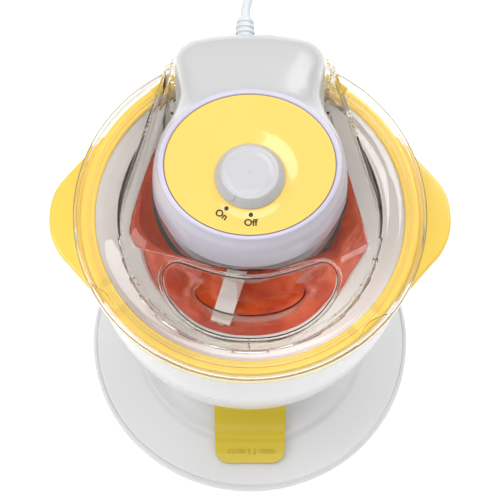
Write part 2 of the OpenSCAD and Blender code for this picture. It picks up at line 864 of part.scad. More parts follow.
module motor() {
    z0 = chassis_z + chassis_t;
    color([0.62, 0.63, 0.66]) translate([0, pinion_y, 0]) difference() {
        union() {
            translate([0, 0, z0]) cylinder(h = motor_h - 1, r = motor_r);
            translate([0, 0, z0]) cylinder(h = motor_h, r = motor_r - 2);
            translate([0, 0, z0]) cylinder(h = motor_h + 1.5, r = 6);
        }
        translate([0, 0, z0 - 1]) cylinder(h = 11, r = motor_shaft_r + run_gap);
    }
}

module switch_body() {
    color([0.2, 0.2, 0.22]) difference() {
        translate([-13, -11, switch_z]) cube([26, 22, crown_z - 2.4 - switch_z]);
        translate([0, 0, switch_z + 2]) cylinder(h = 30, r = dial_shaft_r + run_gap);
    }
}

module terminal_block() {
    color([0.92, 0.92, 0.90]) translate([12, 86 * plan, chassis_z + chassis_t]) difference() {
        cube([14, 9, 8]);
        for (k = [0:1])
            translate([3.8 + 6.4 * k, 4.5, 2]) cylinder(h = 10, r = 1.8);
    }
}

module unit_screw(index) {
    color(bare_metal) translate(cover_screw_at(index))
        translate([0, 0, unit_base_z + 1.4]) screw(seam_z - unit_base_z + 7.5);
}

// ---------- cord ----------

module cord_gland() {
    color([0.93, 0.94, 0.96]) translate([gland_x, gland_y0, gland_z]) rotate([-90, 0, 0]) difference() {
        union() {
            cylinder(h = 1.4, r = 7);
            cylinder(h = gland_l, r1 = 5.5, r2 = 4.6);
            for (k = [0:2]) translate([0, 0, gland_l - 10 + 3.6 * k]) cylinder(h = 2, r = 6 - 0.3 * k);
        }
        translate([0, 0, -1]) cylinder(h = gland_l + 5, r = cord_r + 0.25);
    }
}

// Rings of points across a route, each square to the way the route runs
function route_points(route, steps) =
    let (n = len(route))
    concat(
        [
            for (i = [0:n - 2])
                for (k = [0:steps - 1])
                    spline(route[max(i - 1, 0)], route[i], route[i + 1], route[min(i + 2, n - 1)], k / steps)
        ],
        [route[n - 1]]
    );

function route_ring(p, i, r) =
    let (n = len(p))
    let (along = p[min(i + 1, n - 1)] - p[max(i - 1, 0)])
    let (forward = along / norm(along))
    let (side_raw = cross(forward, [0.94, 0.1, 0.33]))
    let (side = side_raw / norm(side_raw))
    let (up = cross(side, forward))
    [
        for (k = [0:cord_sides - 1])
            p[i] + r * (cos(360 * k / cord_sides) * side + sin(360 * k / cord_sides) * up)
    ];

module power_cord() {
    p = route_points(cord_route, 3);
    color([0.93, 0.94, 0.96])
        loft([for (i = [0:len(p) - 1]) reversed(route_ring(p, i, cord_r))]);
}

module cord_coil() {
    color([0.93, 0.94, 0.96]) translate([coil_centre[0], coil_centre[1], 0])
        rotate_extrude() polygon([
            [coil_mid_r - coil_half_w, 1], [coil_mid_r - coil_half_w + 1, 0],
            [coil_mid_r + coil_half_w - 1, 0], [coil_mid_r + coil_half_w, 1],
            [coil_mid_r + coil_half_w, coil_h - 1], [coil_mid_r + coil_half_w - 1, coil_h],
            [coil_mid_r - coil_half_w + 1, coil_h], [coil_mid_r - coil_half_w, coil_h - 1]
        ]);
}

// A flat two-pin plug lying beside the coil, where the last turn leaves it,
// with its own tapered strain relief
module plug() {
    color([0.93, 0.94, 0.96])
        translate([coil_centre[0] + 26, coil_centre[1] + coil_mid_r + turn_pitch, 7]) {
        rotate([0, 90, 0]) cylinder(h = 24, r1 = 3.6, r2 = 6, center = true);
        translate([11, -13, -7]) linear_extrude(14) polygon([
            [0, 7], [4, 2], [24, 0], [26, 2], [26, 24], [24, 26], [4, 24], [0, 19]
        ]);
        for (side = [-1, 1])
            translate([36, side * 9.3, 0]) rotate([0, 90, 0]) cylinder(h = 19, r = 2);
    }
}

// ---------- dial ----------

module dial_knob() {
    color([0.94, 0.94, 0.96]) difference() {
        union() {
            translate([0, 0, dial_z]) rotate_extrude() polygon([
                [0, 0], [dial_r, 0], [dial_r, 1.6], [dial_r - 5, dial_h - 1], [dial_r - 6.5, dial_h - 0.2],
                [dial_r - 7.5, dial_h], [0, dial_h]
            ]);
            translate([0, 0, switch_z + 3]) cylinder(h = dial_z - switch_z - 2, r = dial_shaft_r);
        }
        rotate([0, 0, pointer_az]) translate([dial_r - 4.5, -0.8, dial_z + dial_h - 2.6]) cube([6, 1.6, 6]);
    }
}

// ---------- gears ----------

module motor_pinion() {
    color([0.75, 0.70, 0.45]) translate([0, pinion_y, 0]) {
        translate([0, 0, large_gear_z - 1])
            linear_extrude(large_gear_t + 2) rotate([0, 0, -90]) polygon(gear_outline(pinion_teeth));
        translate([0, 0, large_gear_z - 1]) cylinder(h = 18, r = motor_shaft_r);
    }
}

module idler_gear() {
    color([0.92, 0.92, 0.86]) translate([0, idler_y, 0]) difference() {
        union() {
            translate([0, 0, large_gear_z]) linear_extrude(large_gear_t)
                rotate([0, 0, 90 + half_tooth_large]) polygon(gear_outline(large_teeth));
            translate([0, 0, out_gear_z]) linear_extrude(large_gear_z - out_gear_z + 0.5)
                rotate([0, 0, small_start]) polygon(gear_outline(small_teeth));
        }
        translate([0, 0, out_gear_z - 1]) cylinder(h = 30, r = idler_pin_r + run_gap);
    }
}

module drive_spindle() {
    color([0.92, 0.92, 0.86]) {
        translate([0, 0, out_gear_z]) linear_extrude(gear_t) rotate([0, 0, 90]) polygon(gear_outline(out_teeth));
        translate([0, 0, hex_top_z]) cylinder(h = out_gear_z - hex_top_z + 1, r = spindle_r);
        translate([0, 0, hex_low_z]) cylinder(h = hex_top_z - hex_low_z + 1, r = hex_r, $fn = 6);
    }
}

// ---------- paddle ----------

module paddle_hub() {
    color([0.95, 0.95, 0.93]) difference() {
        union() {
            translate([0, 0, hub_low_z]) cylinder(h = hub_top_z - hub_low_z, r = hub_r);
            translate([0, 0, hub_low_z]) cylinder(h = 8, r = hub_r + 2);
        }
        translate([0, 0, hub_low_z - 1]) cylinder(h = pip_h, r = pip_r + run_gap);
        translate([0, 0, hex_low_z - 1]) cylinder(h = 20, r = hex_r + 0.35, $fn = 6);
    }
}

module paddle_blade(side) {
    root_r = hub_r - 0.6;
    color([0.95, 0.95, 0.93]) rotate([0, 0, blade_turn + (side > 1 ? 180 : 0)]) difference() {
        union() {
            rotate([90, 0, 0]) translate([0, 0, -blade_t / 2]) linear_extrude(blade_t) difference() {
                polygon([
                    [root_r, blade_low_z], [well_r - 24, blade_low_z], [well_r - 13, blade_low_z + 6],
                    [blade_out_r - 4, blade_low_z + 16], [blade_out_r - 0.6, blade_low_z + 44],
                    [blade_out_r, blade_top_z], [root_r, blade_top_z]
                ]);
                polygon([
                    [hub_r + 8, blade_low_z + 12], [well_r - 26, blade_low_z + 12],
                    [blade_out_r - 13, blade_low_z + 24], [blade_out_r - 11, blade_top_z - 14],
                    [hub_r + 8, blade_top_z - 14]
                ]);
            }
            translate([root_r, -strip_w / 2, blade_top_z - 2.4])
                cube([blade_out_r - root_r, strip_w, 2.4]);
        }
        translate([0, 0, hub_low_z - 1]) cylinder(h = 200, r = hub_r + 0.02);
        translate([0, 0, hub_low_z - 1]) cylinder(h = 9, r = hub_r + 2.02);
    }
}

foot_shell();
cradle_cup();
base_plate();
latch_guide();
rubber_foot(0);  // rubber_foot_1
rubber_foot(1);  // rubber_foot_2
rubber_foot(2);  // rubber_foot_3
rubber_foot(3);  // rubber_foot_4
middle_foot();  // rubber_foot_5
base_screw(0);  // base_screw_1
base_screw(1);  // base_screw_2
base_screw(2);  // base_screw_3
base_screw(3);  // base_screw_4
latch_tongue();
latch_shoe();
bowl_housing();
bowl_spigot();
freezer_shell();
coolant_gel();
freezer_core();
handle_ring();
bowl_screw(0);  // bowl_screw_1
bowl_screw(1);  // bowl_screw_2
bowl_screw(2);  // bowl_screw_3
clear_lid();
filling_chute();
spindle_bush();
lid_seal();
unit_tray();
unit_cover();
fascia_disc();
chassis_plate();
idler_pin();
motor();
switch_body();
terminal_block();
unit_screw(0);  // unit_screw_1
unit_screw(1);  // unit_screw_2
unit_screw(2);  // unit_screw_3
unit_screw(3);  // unit_screw_4
cord_gland();
power_cord();
cord_coil();
plug();
dial_knob();
motor_pinion();
idler_gear();
drive_spindle();
paddle_hub();
paddle_blade(1);  // paddle_blade_1
paddle_blade(2);  // paddle_blade_2
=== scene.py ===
import json
import math

import bmesh
import bpy
from mathutils import Matrix, Vector, noise

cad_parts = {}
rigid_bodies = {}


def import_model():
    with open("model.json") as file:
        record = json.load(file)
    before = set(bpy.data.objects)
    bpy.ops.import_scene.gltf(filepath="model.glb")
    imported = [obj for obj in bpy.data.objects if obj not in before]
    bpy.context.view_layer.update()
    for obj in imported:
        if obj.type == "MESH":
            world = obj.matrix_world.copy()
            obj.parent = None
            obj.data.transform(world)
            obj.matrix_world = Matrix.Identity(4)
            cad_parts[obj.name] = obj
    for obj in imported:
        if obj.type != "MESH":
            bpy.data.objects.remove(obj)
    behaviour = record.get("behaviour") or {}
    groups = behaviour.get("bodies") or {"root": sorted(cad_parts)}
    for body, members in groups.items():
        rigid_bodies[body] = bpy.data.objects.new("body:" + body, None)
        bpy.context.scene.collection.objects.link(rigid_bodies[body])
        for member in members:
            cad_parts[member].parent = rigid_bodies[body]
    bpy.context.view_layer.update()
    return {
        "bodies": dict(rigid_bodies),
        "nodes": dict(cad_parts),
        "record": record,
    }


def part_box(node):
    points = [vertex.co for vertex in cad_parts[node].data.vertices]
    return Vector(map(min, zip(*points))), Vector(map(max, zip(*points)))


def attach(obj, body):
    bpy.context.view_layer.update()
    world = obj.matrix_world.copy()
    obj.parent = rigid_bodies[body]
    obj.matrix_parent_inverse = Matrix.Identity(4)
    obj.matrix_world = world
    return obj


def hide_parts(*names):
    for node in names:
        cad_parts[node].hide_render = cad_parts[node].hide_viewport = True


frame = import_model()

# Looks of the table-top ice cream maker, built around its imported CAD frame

MM = 0.001

# Driving sizes, read from the frame and given in millimetres


def box_mm(node):
    low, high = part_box(node)
    return low / MM, high / MM


LID_R = box_mm("clear_lid")[1].x
CROWN_Z = box_mm("fascia_disc")[0].z + 0.5
SEAM_Z = box_mm("unit_cover")[0].z
UNIT_BASE_Z = box_mm("unit_tray")[0].z
FLOOR_Z = UNIT_BASE_Z - 2.3
RIM_Z = FLOOR_Z - 2
PLATEAU_Z = box_mm("filling_chute")[1].z - 1.2
CHUTE_LOW_Z = box_mm("filling_chute")[0].z
FOOT_R = box_mm("foot_shell")[1].x
NECK_TOP_Z = box_mm("foot_shell")[1].z
PLAN = LID_R / 107.5
CLEAR_T = 1.8
CHUTE_T = 0.8
HOUSING_R = LID_R - 6
HOUSING_TOP_Z = RIM_Z - 9
RING_TOP_Z = RIM_Z - 3
SEAT_Y = 16 * PLAN

# ---------- camera ----------


LOOK_AT = (0, -24, RIM_Z)
CAMERA_ELEVATION = 68.5
CAMERA_DISTANCE = 2.2
CAMERA_LENS = 262


def make_camera():
    look = Vector(LOOK_AT) * MM
    elevation = math.radians(CAMERA_ELEVATION)
    data = bpy.data.cameras.new("camera")
    data.lens = CAMERA_LENS
    data.sensor_width = 36
    data.clip_start = 0.1
    data.clip_end = 20
    camera = bpy.data.objects.new("camera", data)
    bpy.context.scene.collection.objects.link(camera)
    away = Vector((0, -math.cos(elevation), math.sin(elevation)))
    camera.location = look + away * CAMERA_DISTANCE
    camera.rotation_euler = (-away).to_track_quat("-Z", "Y").to_euler()
    bpy.context.scene.camera = camera


make_camera()

# ---------- node helpers ----------


def new_material(name):
    material = bpy.data.materials.new(name)
    material.use_nodes = True
    nodes = material.node_tree.nodes
    nodes.clear()
    output = nodes.new("ShaderNodeOutputMaterial")
    shader = nodes.new("ShaderNodeBsdfPrincipled")
    material.node_tree.links.new(shader.outputs[0], output.inputs[0])
    return material, material.node_tree, shader, output


def object_coordinates(tree, scale=(1, 1, 1)):
    coordinates = tree.nodes.new("ShaderNodeTexCoord")
    mapping = tree.nodes.new("ShaderNodeMapping")
    mapping.inputs["Scale"].default_value = scale
    tree.links.new(coordinates.outputs["Object"], mapping.inputs["Vector"])
    return mapping.outputs[0]


def noise_value(tree, vector, scale, detail=3.0, roughness=0.5):
    node = tree.nodes.new("ShaderNodeTexNoise")
    node.inputs["Scale"].default_value = scale
    node.inputs["Detail"].default_value = detail
    node.inputs["Roughness"].default_value = roughness
    tree.links.new(vector, node.inputs["Vector"])
    return node.outputs["Fac"]


def ramp(tree, value, low, high, low_colour, high_colour):
    node = tree.nodes.new("ShaderNodeValToRGB")
    node.color_ramp.elements[0].position = low
    node.color_ramp.elements[1].position = high
    node.color_ramp.elements[0].color = (*low_colour, 1)
    node.color_ramp.elements[1].color = (*high_colour, 1)
    tree.links.new(value, node.inputs[0])
    return node.outputs[0]


def spread(tree, value, low, high):
    node = tree.nodes.new("ShaderNodeMapRange")
    node.inputs["To Min"].default_value = low
    node.inputs["To Max"].default_value = high
    tree.links.new(value, node.inputs["Value"])
    return node.outputs[0]


def bump(tree, shader, height, depth, strength=0.5):
    node = tree.nodes.new("ShaderNodeBump")
    node.inputs["Strength"].default_value = strength
    node.inputs["Distance"].default_value = depth
    tree.links.new(height, node.inputs["Height"])
    tree.links.new(node.outputs[0], shader.inputs["Normal"])
    return node


def scaled(colour, factor):
    return tuple(min(1.0, c * factor) for c in colour)


def moulded_plastic(name, colour, roughness=0.3, grain=0.00002, coat=0.0, soft=0.0):
    """Moulded plastic: a fine spark-eroded grain, slow flow marks and a slightly uneven gloss."""
    material, tree, shader, _ = new_material(name)
    vector = object_coordinates(tree)
    flow = noise_value(tree, vector, 14, 2)
    tint = ramp(tree, flow, 0.3, 0.7, scaled(colour, 0.97), scaled(colour, 1.02))
    tree.links.new(tint, shader.inputs["Base Color"])
    uneven = noise_value(tree, vector, 90, 4)
    rough = spread(tree, uneven, roughness * 0.85, roughness * 1.2)
    tree.links.new(rough, shader.inputs["Roughness"])
    fine = noise_value(tree, vector, 2600, 2)
    bump(tree, shader, fine, grain, 0.35)
    shader.inputs["IOR"].default_value = 1.5
    shader.inputs["Coat Weight"].default_value = coat
    shader.inputs["Coat Roughness"].default_value = 0.06
    if soft > 0:
        shader.inputs["Subsurface Weight"].default_value = soft
        shader.inputs["Subsurface Radius"].default_value = (1.0, 0.7, 0.4)
        shader.inputs["Subsurface Scale"].default_value = 0.002
    return material


def turned_metal(name, colour, roughness=0.3, rings=900, metallic=1.0):
    """Spun aluminium: fine concentric turning marks about the object's axis, with cloudy wear."""
    material, tree, shader, _ = new_material(name)
    vector = object_coordinates(tree)
    separate = tree.nodes.new("ShaderNodeSeparateXYZ")
    tree.links.new(vector, separate.inputs[0])
    flat = tree.nodes.new("ShaderNodeCombineXYZ")
    tree.links.new(separate.outputs["X"], flat.inputs["X"])
    tree.links.new(separate.outputs["Y"], flat.inputs["Y"])
    length = tree.nodes.new("ShaderNodeVectorMath")
    length.operation = "LENGTH"
    tree.links.new(flat.outputs[0], length.inputs[0])
    radial = tree.nodes.new("ShaderNodeCombineXYZ")
    tree.links.new(length.outputs["Value"], radial.inputs["X"])
    tree.links.new(separate.outputs["Z"], radial.inputs["Z"])
    marks = noise_value(tree, radial.outputs[0], rings, 4, 0.7)
    cloud = noise_value(tree, vector, 22, 3)
    tint = ramp(tree, cloud, 0.3, 0.75, scaled(colour, 0.93), scaled(colour, 1.03))
    tree.links.new(tint, shader.inputs["Base Color"])
    rough = spread(tree, marks, roughness * 0.7, roughness * 1.35)
    tree.links.new(rough, shader.inputs["Roughness"])
    shader.inputs["Metallic"].default_value = metallic
    shader.inputs["Anisotropic"].default_value = 0.45
    bump(tree, shader, marks, 0.00004, 0.5)
    return material


def clear_plastic(name, tint=(0.955, 0.945, 0.925), roughness=0.02):
    """Clear moulded plastic that lets lamplight through, with very faint flow ripples and a painted darker
    shade along its edges where it is seen at a grazing angle.
    """
    material, tree, shader, output = new_material(name)
    vector = object_coordinates(tree)
    ripple = noise_value(tree, vector, 35, 2)
    bump(tree, shader, ripple, 0.0003, 0.2)
    uneven = noise_value(tree, vector, 160, 3)
    rough = spread(tree, uneven, roughness * 0.5, roughness * 2.0)
    tree.links.new(rough, shader.inputs["Roughness"])
    # The base colour turns darker and browner towards grazing angles: painted shade for the dark lines
    # refraction draws along the edges.
    grazing_shade = tree.nodes.new("ShaderNodeLayerWeight")
    grazing_shade.inputs[0].default_value = 0.25
    edge = (tint[0] * 0.6, tint[1] * 0.53, tint[2] * 0.42)
    tree.links.new(ramp(tree, grazing_shade.outputs["Facing"], 0.45, 0.95, tint, edge), shader.inputs["Base Color"])
    shader.inputs["IOR"].default_value = 1.49
    shader.inputs["Transmission Weight"].default_value = 1.0
    shader.inputs["Coat Weight"].default_value = 0.2
    shader.inputs["Coat Roughness"].default_value = 0.03
    path = tree.nodes.new("ShaderNodeLightPath")
    clear = tree.nodes.new("ShaderNodeBsdfTransparent")
    clear.inputs[0].default_value = (0.985, 0.98, 0.97, 1)
    mix = tree.nodes.new("ShaderNodeMixShader")
    tree.links.new(path.outputs["Is Shadow Ray"], mix.inputs[0])
    tree.links.new(shader.outputs[0], mix.inputs[1])
    tree.links.new(clear.outputs[0], mix.inputs[2])
    tree.links.new(mix.outputs[0], output.inputs[0])
    return material


def unit_plastic(name, head, arm, roughness=0.22):
    """The motor unit's gloss white plastic, painted with a bluish lavender shade on the head and neutral
    along the arm behind it.
    """
    material, tree, shader, _ = new_material(name)
    vector = object_coordinates(tree)
    separate = tree.nodes.new("ShaderNodeSeparateXYZ")
    tree.links.new(vector, separate.inputs[0])
    along = tree.nodes.new("ShaderNodeMapRange")
    along.inputs["From Min"].default_value = 0.036 * PLAN
    along.inputs["From Max"].default_value = 0.050 * PLAN
    tree.links.new(separate.outputs["Y"], along.inputs["Value"])
    flow = noise_value(tree, vector, 14, 2)
    painted_shade_mask = tree.nodes.new("ShaderNodeMath")
    painted_shade_mask.operation = "MULTIPLY_ADD"
    painted_shade_mask.inputs[1].default_value = 0.08
    tree.links.new(flow, painted_shade_mask.inputs[0])
    tree.links.new(along.outputs[0], painted_shade_mask.inputs[2])
    # The lavender on the head is painted bluish shade on white plastic, fading out along the arm.
    tree.links.new(ramp(tree, painted_shade_mask.outputs[0], 0.04, 1.02, head, arm), shader.inputs["Base Color"])
    uneven = noise_value(tree, vector, 90, 4)
    tree.links.new(spread(tree, uneven, roughness * 0.85, roughness * 1.2), shader.inputs["Roughness"])
    bump(tree, shader, noise_value(tree, vector, 2600, 2), 0.00002, 0.35)
    shader.inputs["Coat Weight"].default_value = 0.25
    shader.inputs["Coat Roughness"].default_value = 0.06
    return material


# Colours are linear
WHITE = (0.74, 0.74, 0.745)
YELLOW = (0.88, 0.60, 0.085)
TONGUE_YELLOW = (0.70, 0.53, 0.025)

M = {
    "shell_grey": moulded_plastic("shell_grey", WHITE, 0.34),
    # The head's lavender colour is painted bluish shade; the arm's neutral colour is the plastic's own.
    "unit_white": unit_plastic("unit_white", (0.57, 0.545, 0.635), (0.54, 0.54, 0.54)),
    "lemon_plastic": moulded_plastic("lemon_plastic", YELLOW, 0.16, 0.000008, coat=0.6),
    "tongue_yellow": moulded_plastic("tongue_yellow", TONGUE_YELLOW, 0.32),
    "bare_aluminium": turned_metal("bare_aluminium", (1.0, 1.0, 0.99), 0.38, 900, 0.3),
    "steel": turned_metal("steel", (0.62, 0.62, 0.64), 0.3, 2400),
    "motor_steel": turned_metal("motor_steel", (0.5, 0.5, 0.52), 0.35, 1800),
    "brass": turned_metal("brass", (0.76, 0.56, 0.22), 0.25, 2400),
    "clear_plastic": clear_plastic("clear_plastic"),
    "canister_plastic": moulded_plastic("canister_plastic", (0.62, 0.66, 0.74), 0.45),
    "gel": moulded_plastic("gel", (0.25, 0.5, 0.8), 0.2),
    "bearing_plastic": moulded_plastic("bearing_plastic", (0.8, 0.8, 0.74), 0.4),
    "seal_rubber": clear_plastic("seal_rubber", (0.93, 0.92, 0.90), 0.1),
    "foot_rubber": moulded_plastic("foot_rubber", (0.03, 0.03, 0.032), 0.7, 0.00006),
    "dark_plastic": moulded_plastic("dark_plastic", (0.02, 0.02, 0.022), 0.45),
    "cord_white": moulded_plastic("cord_white", (0.66, 0.70, 0.73), 0.42, 0.00003),
    "paddle_plastic": moulded_plastic("paddle_plastic", (0.72, 0.66, 0.64), 0.3, soft=0.4),
}

# The bezel's lavender tint is painted bluish shade on white plastic.
M["bezel_white"] = moulded_plastic("bezel_white", (0.60, 0.57, 0.70), 0.2, coat=0.3)
M["knob_white"] = moulded_plastic("knob_white", (0.55, 0.55, 0.57), 0.28, coat=0.1)
M["housing_grey"] = moulded_plastic("housing_grey", (0.64, 0.64, 0.64), 0.25, coat=0.2)
M["disc_yellow"] = moulded_plastic("disc_yellow", (0.90, 0.615, 0.125), 0.22, 0.000006, coat=0.8)
M["ink"] = moulded_plastic("ink", (0.012, 0.011, 0.010), 0.4)
# A darker, browner copy of the clear plastic for the lid's rim: painted shade for the grey band seen through
# the thick flange.
M["clear_rim_painted_shade"] = clear_plastic("clear_rim_painted_shade", (0.86, 0.83, 0.76))
# Dark olive-brown for a thin line at the lid's rim: painted shade, not a colour of the plastic.
M["edge_tint"] = moulded_plastic("edge_tint", (0.30, 0.25, 0.11), 0.3)
# A darker copy of the tongue's yellow for its raised labels and arrows: painted shade for the shading of
# embossed letters.
M["tongue_shade"] = moulded_plastic("tongue_shade", (0.56, 0.41, 0.016), 0.4)
M["gap_shade"] = moulded_plastic("gap_shade", (0.30, 0.22, 0.16), 0.5)


def sorbet_material():
    """Wet fruit ice: deep orange red with paler frozen streaks and a soft glow."""
    material, tree, shader, _ = new_material("sorbet")
    vector = object_coordinates(tree)
    streak = noise_value(tree, vector, 55, 5, 0.6)
    tint = ramp(tree, streak, 0.3, 0.72, (0.42, 0.025, 0.003), (0.74, 0.11, 0.016))
    tree.links.new(tint, shader.inputs["Base Color"])
    fine = noise_value(tree, vector, 420, 4, 0.7)
    rough = spread(tree, fine, 0.22, 0.5)
    tree.links.new(rough, shader.inputs["Roughness"])
    bump(tree, shader, fine, 0.0008, 0.6)
    shader.inputs["Subsurface Weight"].default_value = 0.25
    shader.inputs["Subsurface Radius"].default_value = (1.0, 0.3, 0.15)
    shader.inputs["Subsurface Scale"].default_value = 0.004
    return material


M["sorbet"] = sorbet_material()

for entry in frame["record"]["subparts"]:
    node = frame["nodes"][entry["node"]]
    node.data.materials.clear()
    node.data.materials.append(M[entry["material_slot"]])

# ---------- mesh helpers ----------


def add_mesh(name, points, faces, body, slot, smooth_angle=35):
    """A mesh from points in millimetres, riding on a body."""
    mesh = bpy.data.meshes.new(name)
    mesh.from_pydata([Vector(p) * MM for p in points], [], faces)
    mesh.validate()
    tidy = bmesh.new()
    tidy.from_mesh(mesh)
    bmesh.ops.remove_doubles(tidy, verts=tidy.verts, dist=1e-7)
    bmesh.ops.recalc_face_normals(tidy, faces=tidy.faces)
    tidy.to_mesh(mesh)
    tidy.free()
    thing = bpy.data.objects.new(name, mesh)
    bpy.context.scene.collection.objects.link(thing)
    smooth(thing, smooth_angle)
    if body:
        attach(thing, body)
    if slot:
        mesh.materials.append(M[slot])
    return thing


def smooth(thing, angle=35):
    thing.data.shade_smooth()
    thing.data.set_sharp_from_angle(angle=math.radians(angle))


def loft(rings, close_ends=True, join_ends=False):
    """Points and faces of a skin through rings of equal count."""
    n = len(rings[0])
    count = len(rings)
    points = [p for ring in rings for p in ring]
    faces = []
    for k in range(count if join_ends else count - 1):
        m = (k + 1) % count
        for i in range(n):
            j = (i + 1) % n
            faces.append((k * n + i, k * n + j, m * n + j, m * n + i))
    if close_ends and not join_ends:
        faces.append(tuple(range(n))[::-1])
        faces.append(tuple((count - 1) * n + i for i in range(n)))
    return points, faces


def at_height(outline, z):
    return [(x, y, z) for x, y in outline]


def lathe(profile, segments=192, centre=(0, 0)):
    """Points and faces of a closed profile, a list of (r, z), turned about Z."""
    rings = []
    for k in range(segments):
        a = 2 * math.pi * k / segments
        rings.append([(centre[0] + r * math.cos(a), centre[1] + r * math.sin(a), z) for r, z in profile])
    return loft(rings, join_ends=True)


def rounded(profile, radii, steps=4):
    """A closed profile with each corner rounded by its own radius; 0 leaves a corner sharp."""
    n = len(profile)
    result = []
    for i in range(n):
        here = Vector(profile[i])
        radius = radii[i] if isinstance(radii, (list, tuple)) else radii
        before = Vector(profile[i - 1]) - here
        after = Vector(profile[(i + 1) % n]) - here
        reach = min(radius, before.length * 0.45, after.length * 0.45)
        if reach < 0.02 or here.x < 0.01:
            result.append(tuple(here))
            continue
        a = here + before.normalized() * reach
        b = here + after.normalized() * reach
        for k in range(steps + 1):
            t = k / steps
            result.append(tuple(a * (1 - t) ** 2 + here * 2 * t * (1 - t) + b * t * t))
    return result


def bezier(p, t):
    return sum((Vector(q) * w for q, w in zip(p, (
        (1 - t) ** 3, 3 * (1 - t) ** 2 * t, 3 * (1 - t) * t * t, t ** 3))), Vector((0, 0)))


def catmull(a, b, c, d, t):
    a, b, c, d = Vector(a), Vector(b), Vector(c), Vector(d)
    square, cube = 2 * a - 5 * b + 4 * c - d, 3 * b - a - 3 * c + d
    return b + (c - a) * t / 2 + square * t * t / 2 + cube * t ** 3 / 2


def closed_spline(points, steps):
    n = len(points)
    return [
        catmull(points[i - 1], points[i], points[(i + 1) % n], points[(i + 2) % n], k / steps)
        for i in range(n) for k in range(steps)
    ]


def both_halves(half):
    return list(half) + [(-x, y) for x, y in half[-2:0:-1]]


def inset(outline, d):
    """The outline moved inwards by d."""
    n = len(outline)
    result = []
    for i in range(n):
        along = Vector(outline[(i + 1) % n]) - Vector(outline[i - 1])
        side = Vector((-along.y, along.x)).normalized()
        result.append(tuple(Vector(outline[i]) + side * d))
    return result


def pillow(outline, z0, z1, radius, steps=5):
    """A plate whose edges are rounded above and below."""
    rings = []
    for k in range(steps + 1):
        a = math.pi / 2 * k / steps
        rings.append(at_height(inset(outline, radius * (1 - math.sin(a))), z0 + radius * (1 - math.cos(a))))
    for k in range(steps + 1):
        a = math.pi / 2 * k / steps
        rings.append(at_height(inset(outline, radius * (1 - math.cos(a))), z1 - radius * (1 - math.sin(a))))
    return loft(rings)


def ellipse(rx, ry, y0, n=192):
    return [(rx * math.cos(2 * math.pi * i / n), y0 + ry * math.sin(2 * math.pi * i / n)) for i in range(n)]


def arc(centre, r, a0, a1, n):
    return [
        (centre[0] + r * math.cos(math.radians(a0 + (a1 - a0) * i / n)),
         centre[1] + r * math.sin(math.radians(a0 + (a1 - a0) * i / n)))
        for i in range(n + 1)
    ]


def carve(thing, cutter, operation):
    """thing combined with cutter, which is then removed."""
    modifier = thing.modifiers.new("carve", "BOOLEAN")
    modifier.object = cutter
    modifier.operation = operation
    modifier.solver = "EXACT"
    view = bpy.context.view_layer
    view.update()
    result = bpy.data.meshes.new_from_object(thing.evaluated_get(view.depsgraph))
    thing.modifiers.clear()
    thing.data = result
    bpy.data.objects.remove(cutter)
    return thing


def solid(points_faces, name="tool"):
    return add_mesh(name, *points_faces, None, None)


def prism(outline, z0, z1):
    return solid(loft([at_height(outline, z0), at_height(outline, z1)]))


# ---------- outlines shared by the lid and the motor unit ----------

BOSS_HALF = [(x * PLAN, y * PLAN) for x, y in (
    (0, -36.5), (20, -32.5), (38, -20.2), (49.6, -1), (52.4, 18), (46.4, 37.5), (45.4, 54),
    (45.2, 68), (45.8, 82), (44.6, 94), (36, 101.5), (18, 104.3), (0, 105))]
SEAM_HALF = [(x * PLAN, y * PLAN) for x, y in (
    (0, -44.5), (23, -40.2), (43, -27.2), (56, -7), (58.6, 13), (54.4, 33), (46.6, 49.5),
    (43, 63), (44.6, 79), (45.6, 92), (37, 101.5), (18, 105.3), (0, 106))]
CROWN_HALF = [(x * PLAN, y * PLAN) for x, y in (
    (0, -40), (21, -36.4), (40, -24.4), (52.4, -5.2), (54.7, 14), (49.8, 30.2), (41.6, 41.4),
    (34.8, 47.4), (28.4, 51.6), (21.6, 54.6), (14.2, 56.9), (7, 58.2), (0, 58.6))]
COVER_LEVELS = ((0, 0), (0.33, 0.06), (0.56, 0.2), (0.75, 0.5), (0.92, 0.85), (1, 1))


def unit_outline(half, steps=8):
    return [tuple(p) for p in closed_spline(both_halves(half), steps)]


def mixed_half(share):
    return [tuple(Vector(a).lerp(Vector(b), share)) for a, b in zip(SEAM_HALF, CROWN_HALF)]


MOUTH_HALF = [(x * PLAN, y * PLAN) for x, y in (
    (0, -85), (16, -83.5), (29.5, -78.5), (39.5, -71.2), (46.2, -63.2), (50.8, -55), (52.4, -46.6),
    (49.8, -39.6), (44, -36.9), (36, -39.2), (25.5, -42.9), (12, -46.3), (0, -47.4))]
OUTLET_HALF = [(x * PLAN, y * PLAN) for x, y in (
    (0, -60.9), (8, -60.4), (15.6, -59), (22, -56.6), (26.8, -53.8), (30.4, -50.4), (32.2, -46.6),
    (31, -43.4), (27.8, -42.1), (23.6, -42.6), (17.4, -44.4), (8.6, -47), (0, -47.8))]
CHUTE_LEVELS = ((0, 0), (0.4, 0.03), (0.55, 0.16), (0.72, 0.44), (0.87, 0.76), (1, 1))


def chute_outline(share, grow=0.0):
    """The chute's outline, from the outlet's at share 0 to the mouth's at share 1."""
    half = [tuple(Vector(a).lerp(Vector(b), share)) for a, b in zip(OUTLET_HALF, MOUTH_HALF)]
    return inset(unit_outline(half), -grow)


def egg(grow):
    front, front_r = Vector((0, -10 * PLAN)), 79.3 * PLAN
    back, back_r = Vector((0, 100 * PLAN)), 47.5 * PLAN
    rise = math.degrees(math.asin((front_r - back_r) / (back.y - front.y)))
    round_front = arc(front, front_r + grow, -180 - rise, rise, 160)
    return round_front + arc(back, back_r + grow, rise, 180 - rise, 60)


